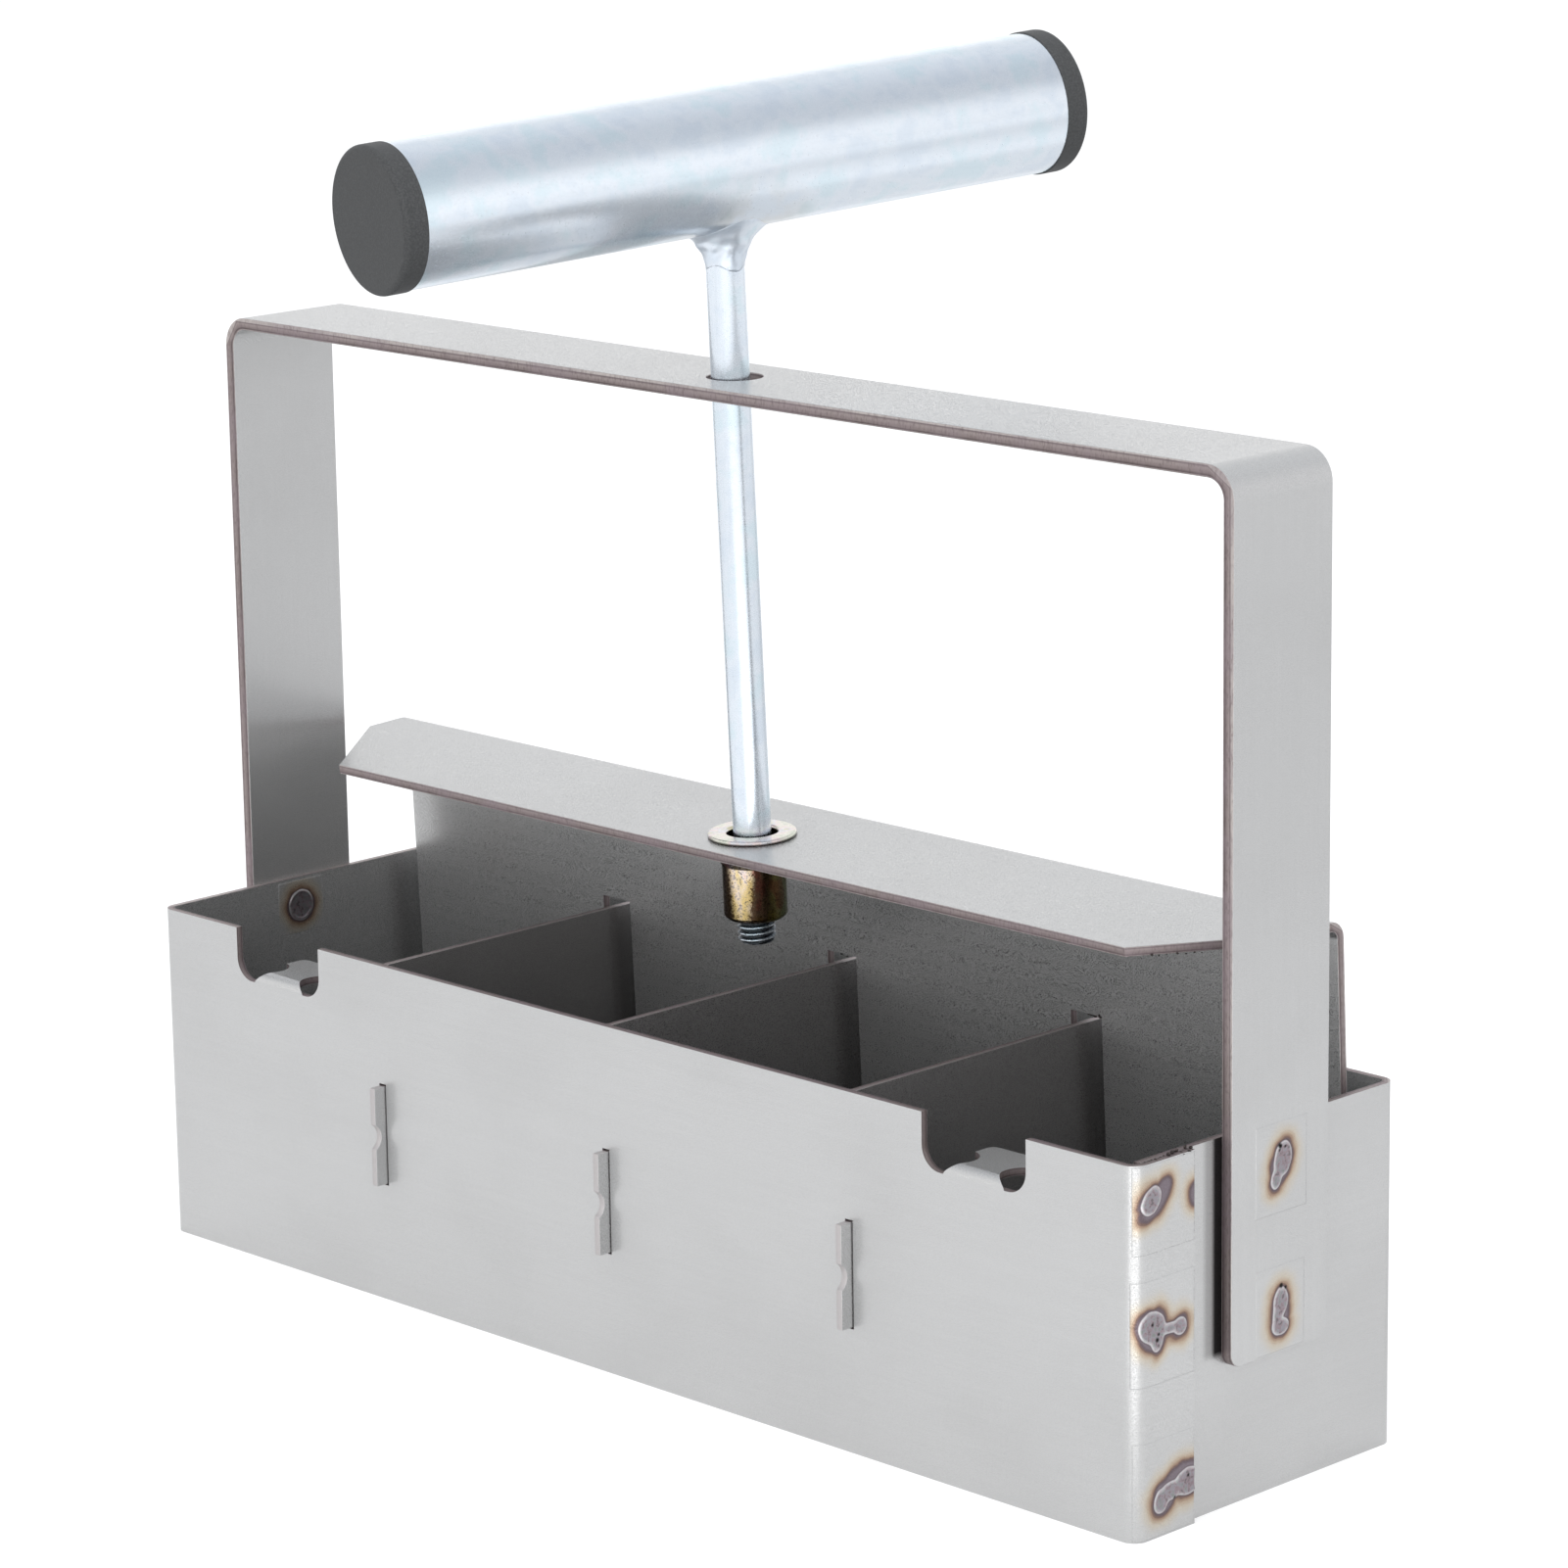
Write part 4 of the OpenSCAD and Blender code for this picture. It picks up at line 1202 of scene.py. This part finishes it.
PLUG_SPOTS = tuple(
    (
        (-5.4, 4.4, z - 4.8, z + 4.5),
        {
            "melt": [(-0.5, z, 2.7, 2.75, 0)],
            "heat": [(-0.5, z, 2.8, 2.85, 0)],
            "soot": [],
            "pits": [(-0.9, z + 0.6, 1.1, 1.2), (0.1, z - 1.2, 0.6, 0.6)],
            "spread": 0.1,
        },
    )
    for z in (29.6, 52.0)
)


class DressWelds(bpy.types.Operator):
    """Melted spots with their heat tint"""

    bl_idname = "blocker.dress_welds"
    bl_label = "Dress Welds"

    def execute(self, context):
        sizes = context.scene.sheet_settings
        metal = spot_weld_metal("spot_weld_metal", (0.05, 0.05, 3.2), sizes.sheet_code, sizes.roughness)
        leg = box_mm("bail")[1].x
        inner = -box_mm("mould_shell")[0].x - sizes.sheet_t / MM
        groups = {
            "corner_welds": [(flange_surface(sizes.corner_r / MM), FLANGE_SPOTS)],
            "bail_welds_right": [(end_surface(leg, 1), LEG_SPOTS), (end_surface(inner, -1), PLUG_SPOTS)],
            "bail_welds_left": [(end_surface(-leg, -1), LEG_SPOTS), (end_surface(-inner, 1), PLUG_SPOTS)],
        }
        for node, patches in groups.items():
            verts, faces, marks = [], [], []
            for surface, spots in patches:
                for region, spot in spots:
                    weld_patch(verts, faces, marks, surface, region, spot)
            mesh = mesh_from(node + "_melt", verts, faces)
            for k, name in enumerate(WELD_MARKS):
                attribute = mesh.attributes.new(name, "FLOAT", "POINT")
                attribute.data.foreach_set("value", [mark[k] for mark in marks])
            new_piece("_dressed", mesh, node, [metal])
        return {"FINISHED"}


# Slag

# Strings of beads in millimetres: start, end, count and bead radius. The pusher's
# are in its own upright frame.
MOULD_BEADS = (
    ((110.2, -26.9, 57.0), (110.3, -22.5, 57.05), 7, 0.26),
    ((110.3, -22.0, 57.0), (110.5, -17.4, 57.1), 13, 0.34),
    ((111.2, -19.4, 57.0), (111.25, -17.4, 57.0), 4, 0.2),
)
PUSHER_BEADS = (
    ((53.9, 18.95, 57.3), (56.7, 18.8, 57.3), 9, 0.34),
    ((-0.9, 18.95, 57.3), (0.9, 18.85, 57.3), 4, 0.28),
    ((90.6, -8.7, 79.95), (96.2, -1.5, 79.95), 8, 0.2),
)


class DressSlag(bpy.types.Operator):
    """Beads of slag that the laser left on a few cut edges"""

    bl_idname = "blocker.dress_slag"
    bl_label = "Dress Slag"

    def execute(self, context):
        slag = cutting_dross("laser_cutting_dross")
        tree = dross_nodes()
        sheets = (("mould_shell", MOULD_BEADS, Matrix()), ("pusher_frame", PUSHER_BEADS, HUNG))
        for node, strings, place in sheets:
            parts = []
            for k, (start, end, count, radius) in enumerate(strings):
                values = {"Count": count, "Bead Radius": radius * MM, "Seed": 11 + k, "Material": slag}
                values["Start"], values["End"] = Vector(start) * MM, Vector(end) * MM
                parts.append((made_by(tree, values), place))
            new_piece("_slag", joined(node + "_slag", parts), node, [slag], stands_in=False)
        return {"FINISHED"}


# Stage

# In metres: half the floor's width, half the mould's opening along X and Y, and
# the corner of the floor beyond the mould's front right corner, past which the
# floor glows in reflections to paint a highlight on the mould's corner bend
FLOOR_REACH = 6
OPENING = (0.109, 0.029)
CORNER = (0.112, -0.034)


def floor_material():
    """Matt white paper that keeps the shadow. It shows white to the camera. In
    reflections it glows as painted light: most near the object, less further out
    and, as painted shade, to the right rear and behind the mould, with a bright
    patch beyond the mould's front right corner that paints a highlight on the
    corner's bend, and not inside the mould."""
    material, tree, shader, coords = start_material("matt_white_paper")
    fibre = grain_noise(tree, coords, (0.5, 0.5, 0.5), 2.0, 0.5)
    paper = add(tree, "mix", linear("#c9c9c9"), linear("#c5c5c5"), fibre)
    tree.nodes.remove(shader)
    diffuse = add(tree, "ShaderNodeBsdfDiffuse", {"Color": paper})
    path = add(tree, "ShaderNodeLightPath", out=None)
    away = add(tree, "LENGTH", coords)
    behind = add(tree, "DOT_PRODUCT", coords, (0.72, 0.69, 0.0))
    near = add(
        tree,
        "SUBTRACT",
        add(tree, "range", away, 0.22, 0.55, 0.42, 0.24),
        add(tree, "range", behind, 0.12, 0.6, 0.0, 0.12),
    )
    open_room = add(tree, "ADD", near, add(tree, "range", away, 0.6, 1.2, 0.0, 0.36))
    place = add(tree, "axes", coords)
    beside = add(tree, "LESS_THAN", add(tree, "ABSOLUTE", place["X"]), 0.14)
    # Painted shade in reflections: the floor glows less behind the mould
    painted_lee_shade = add(tree, "MULTIPLY", beside, add(tree, "range", place["Y"], 0.03, 0.08, 0.0, 0.2))
    # Painted highlight: beyond the mould's front right corner the floor glows strongly in reflections,
    # lighting the corner's bend
    right = add(tree, "range", place["X"], CORNER[0], 0.16, 0.0, 1.0)
    front = add(tree, "range", place["Y"], CORNER[1], -0.08, 0.0, 1.0)
    corner = add(
        tree, "MULTIPLY", add(tree, "MULTIPLY", right, front), add(tree, "range", away, 0.3, 0.5, 1.3, 0.0)
    )
    reflection_glow = add(tree, "ADD", add(tree, "SUBTRACT", open_room, painted_lee_shade), corner)
    inner_x = add(tree, "LESS_THAN", add(tree, "ABSOLUTE", place["X"]), OPENING[0])
    inner_y = add(tree, "LESS_THAN", add(tree, "ABSOLUTE", place["Y"]), OPENING[1])
    outside = add(tree, "SUBTRACT", 1.0, add(tree, "MULTIPLY", inner_x, inner_y))
    mirrored = add(tree, "MAXIMUM", path["Is Glossy Ray"], path["Is Transmission Ray"])
    glow = add(
        tree,
        "ADD",
        add(tree, "MULTIPLY", path["Is Camera Ray"], 0.5),
        add(tree, "MULTIPLY", add(tree, "MULTIPLY", mirrored, reflection_glow), outside),
    )
    light = add(tree, "ShaderNodeEmission", {"Color": linear("#ffffff"), "Strength": glow})
    both = add(tree, "ShaderNodeAddShader", diffuse, light)
    feed(tree, tree.nodes["Material Output"], {"Surface": both})
    return material


def studio_world(scene):
    """White room: bright round the horizon, dimmer overhead and to the right rear,
    and white straight to the camera."""
    world = bpy.data.worlds.new("white_room")
    scene.world = world
    world.use_nodes = True
    tree = world.node_tree
    tree.nodes.clear()
    direction = add(tree, "ShaderNodeTexCoord", out="Generated")
    height = add(tree, "axes", direction)["Z"]
    room = add(
        tree,
        "ramp",
        height,
        stops=[
            (0.0, "#fbfbfb"),
            (0.12, "#ffffff"),
            (0.3, "#fefefe"),
            (0.45, "#f2f3f4"),
            (0.6, "#dfe1e3"),
            (0.76, "#e0e3e6"),
            (0.88, "#e4e7ea"),
            (1.0, "#e0e2e4"),
        ],
    )
    heading = add(tree, "DOT_PRODUCT", direction, (-0.375, 0.927, 0.0))
    panel_edge = add(
        tree,
        "ramp",
        add(tree, "range", heading, -0.1, 0.9, 0.0, 1.0),
        stops=[(0.04, "#ffffff"), (0.2, "#d9d9db"), (0.36, "#dadadc"), (0.6, "#ececee"), (0.8, "#ffffff")],
    )
    dimmed = add(tree, "shade", room, panel_edge, 1.0)
    camera_ray = add(tree, "ShaderNodeLightPath", out="Is Camera Ray")
    seen = add(tree, "mix", dimmed, linear("#ffffff"), camera_ray)
    back = add(tree, "ShaderNodeBackground", {"Color": seen, "Strength": 1.25})
    add(tree, "ShaderNodeOutputWorld", {"Surface": back}, out=None)


def soft_box(name, place, target, size, power):
    """Rectangular soft light that faces a point."""
    light = bpy.data.lights.new(name, "AREA")
    light.shape = "RECTANGLE"
    light.size, light.size_y = size
    light.energy = power
    lamp = bpy.data.objects.new(name, light)
    lamp.location = place
    lamp.rotation_euler = (Vector(target) - Vector(place)).to_track_quat("-Z", "Y").to_euler()
    lamp.visible_glossy = False
    bpy.context.scene.collection.objects.link(lamp)


def aim_camera(sizes):
    """Camera with the photograph's lens, place and angles."""
    yaw, pitch, roll = sizes.camera_yaw, sizes.camera_pitch, sizes.camera_roll
    ahead = Vector((math.cos(pitch) * math.cos(yaw), math.cos(pitch) * math.sin(yaw), -math.sin(pitch)))
    right = ahead.cross(Vector((0, 0, 1))).normalized()
    down = ahead.cross(right)
    across = math.cos(roll) * right + math.sin(roll) * down
    below = -math.sin(roll) * right + math.cos(roll) * down
    data = bpy.data.cameras.new("studio_camera")
    data.sensor_width = 36.0
    data.lens = sizes.lens
    data.clip_start = 0.01
    data.clip_end = 50.0
    camera = bpy.data.objects.new("studio_camera", data)
    turn = Matrix((across, -below, -ahead)).transposed().to_4x4()
    camera.matrix_world = Matrix.Translation(Vector(sizes.camera_place)) @ turn
    bpy.context.scene.collection.objects.link(camera)
    bpy.context.scene.camera = camera


class BuildStage(bpy.types.Operator):
    """Floor, white room, soft lights and camera"""

    bl_idname = "blocker.build_stage"
    bl_label = "Build Stage"

    def execute(self, context):
        scene = context.scene
        corners = [(x * FLOOR_REACH, y * FLOOR_REACH, 0) for x, y in ((-1, -1), (1, -1), (1, 1), (-1, 1))]
        floor_mesh = mesh_from("floor", corners, [(0, 1, 2, 3)], False)
        floor = bpy.data.objects.new("floor", floor_mesh)
        scene.collection.objects.link(floor)
        floor_mesh.materials.append(floor_material())
        studio_world(scene)
        soft_box("overhead_box", (-0.1, -0.1, 1.4), (0, 0, 0.1), (1.4, 1.0), 5.0)
        soft_box("front_box", (1.2, -1.2, 1.0), (0, 0, 0.1), (1.4, 1.2), 14.0)
        aim_camera(scene.stage_settings)
        scene.view_settings.view_transform = "Standard"
        return {"FINISHED"}


class BlockerPanel(bpy.types.Panel):
    """Lists the dressing steps"""

    bl_idname = "VIEW3D_PT_soil_blocker"
    bl_label = "Soil Blocker"
    bl_space_type = "VIEW_3D"
    bl_region_type = "UI"
    bl_category = "Soil Blocker"

    def draw(self, context):
        column = self.layout.column()
        for step in STEPS:
            column.operator(step.bl_idname)


STEPS = (DressMould, DressPusher, DressFasteners, DressHandle, DressWelds, DressSlag, BuildStage)
GROUPS = {
    "sheet_settings": SheetSettings,
    "fastener_settings": FastenerSettings,
    "stage_settings": StageSettings,
}


def register():
    """Registers the classes and hangs the settings on the scene."""
    for cls in (*GROUPS.values(), *STEPS, BlockerPanel):
        bpy.utils.register_class(cls)
    for name, cls in GROUPS.items():
        setattr(bpy.types.Scene, name, bpy.props.PointerProperty(type=cls))


def unregister():
    """Takes the settings and the classes away again."""
    for name in GROUPS:
        delattr(bpy.types.Scene, name)
    for cls in reversed((*GROUPS.values(), *STEPS, BlockerPanel)):
        bpy.utils.unregister_class(cls)


def main():
    """Runs every step."""
    register()
    bpy.ops.blocker.dress_mould()
    bpy.ops.blocker.dress_pusher()
    bpy.ops.blocker.dress_fasteners()
    bpy.ops.blocker.dress_handle()
    bpy.ops.blocker.dress_welds()
    bpy.ops.blocker.dress_slag()
    bpy.ops.blocker.build_stage()


if __name__ == "__main__":
    main()
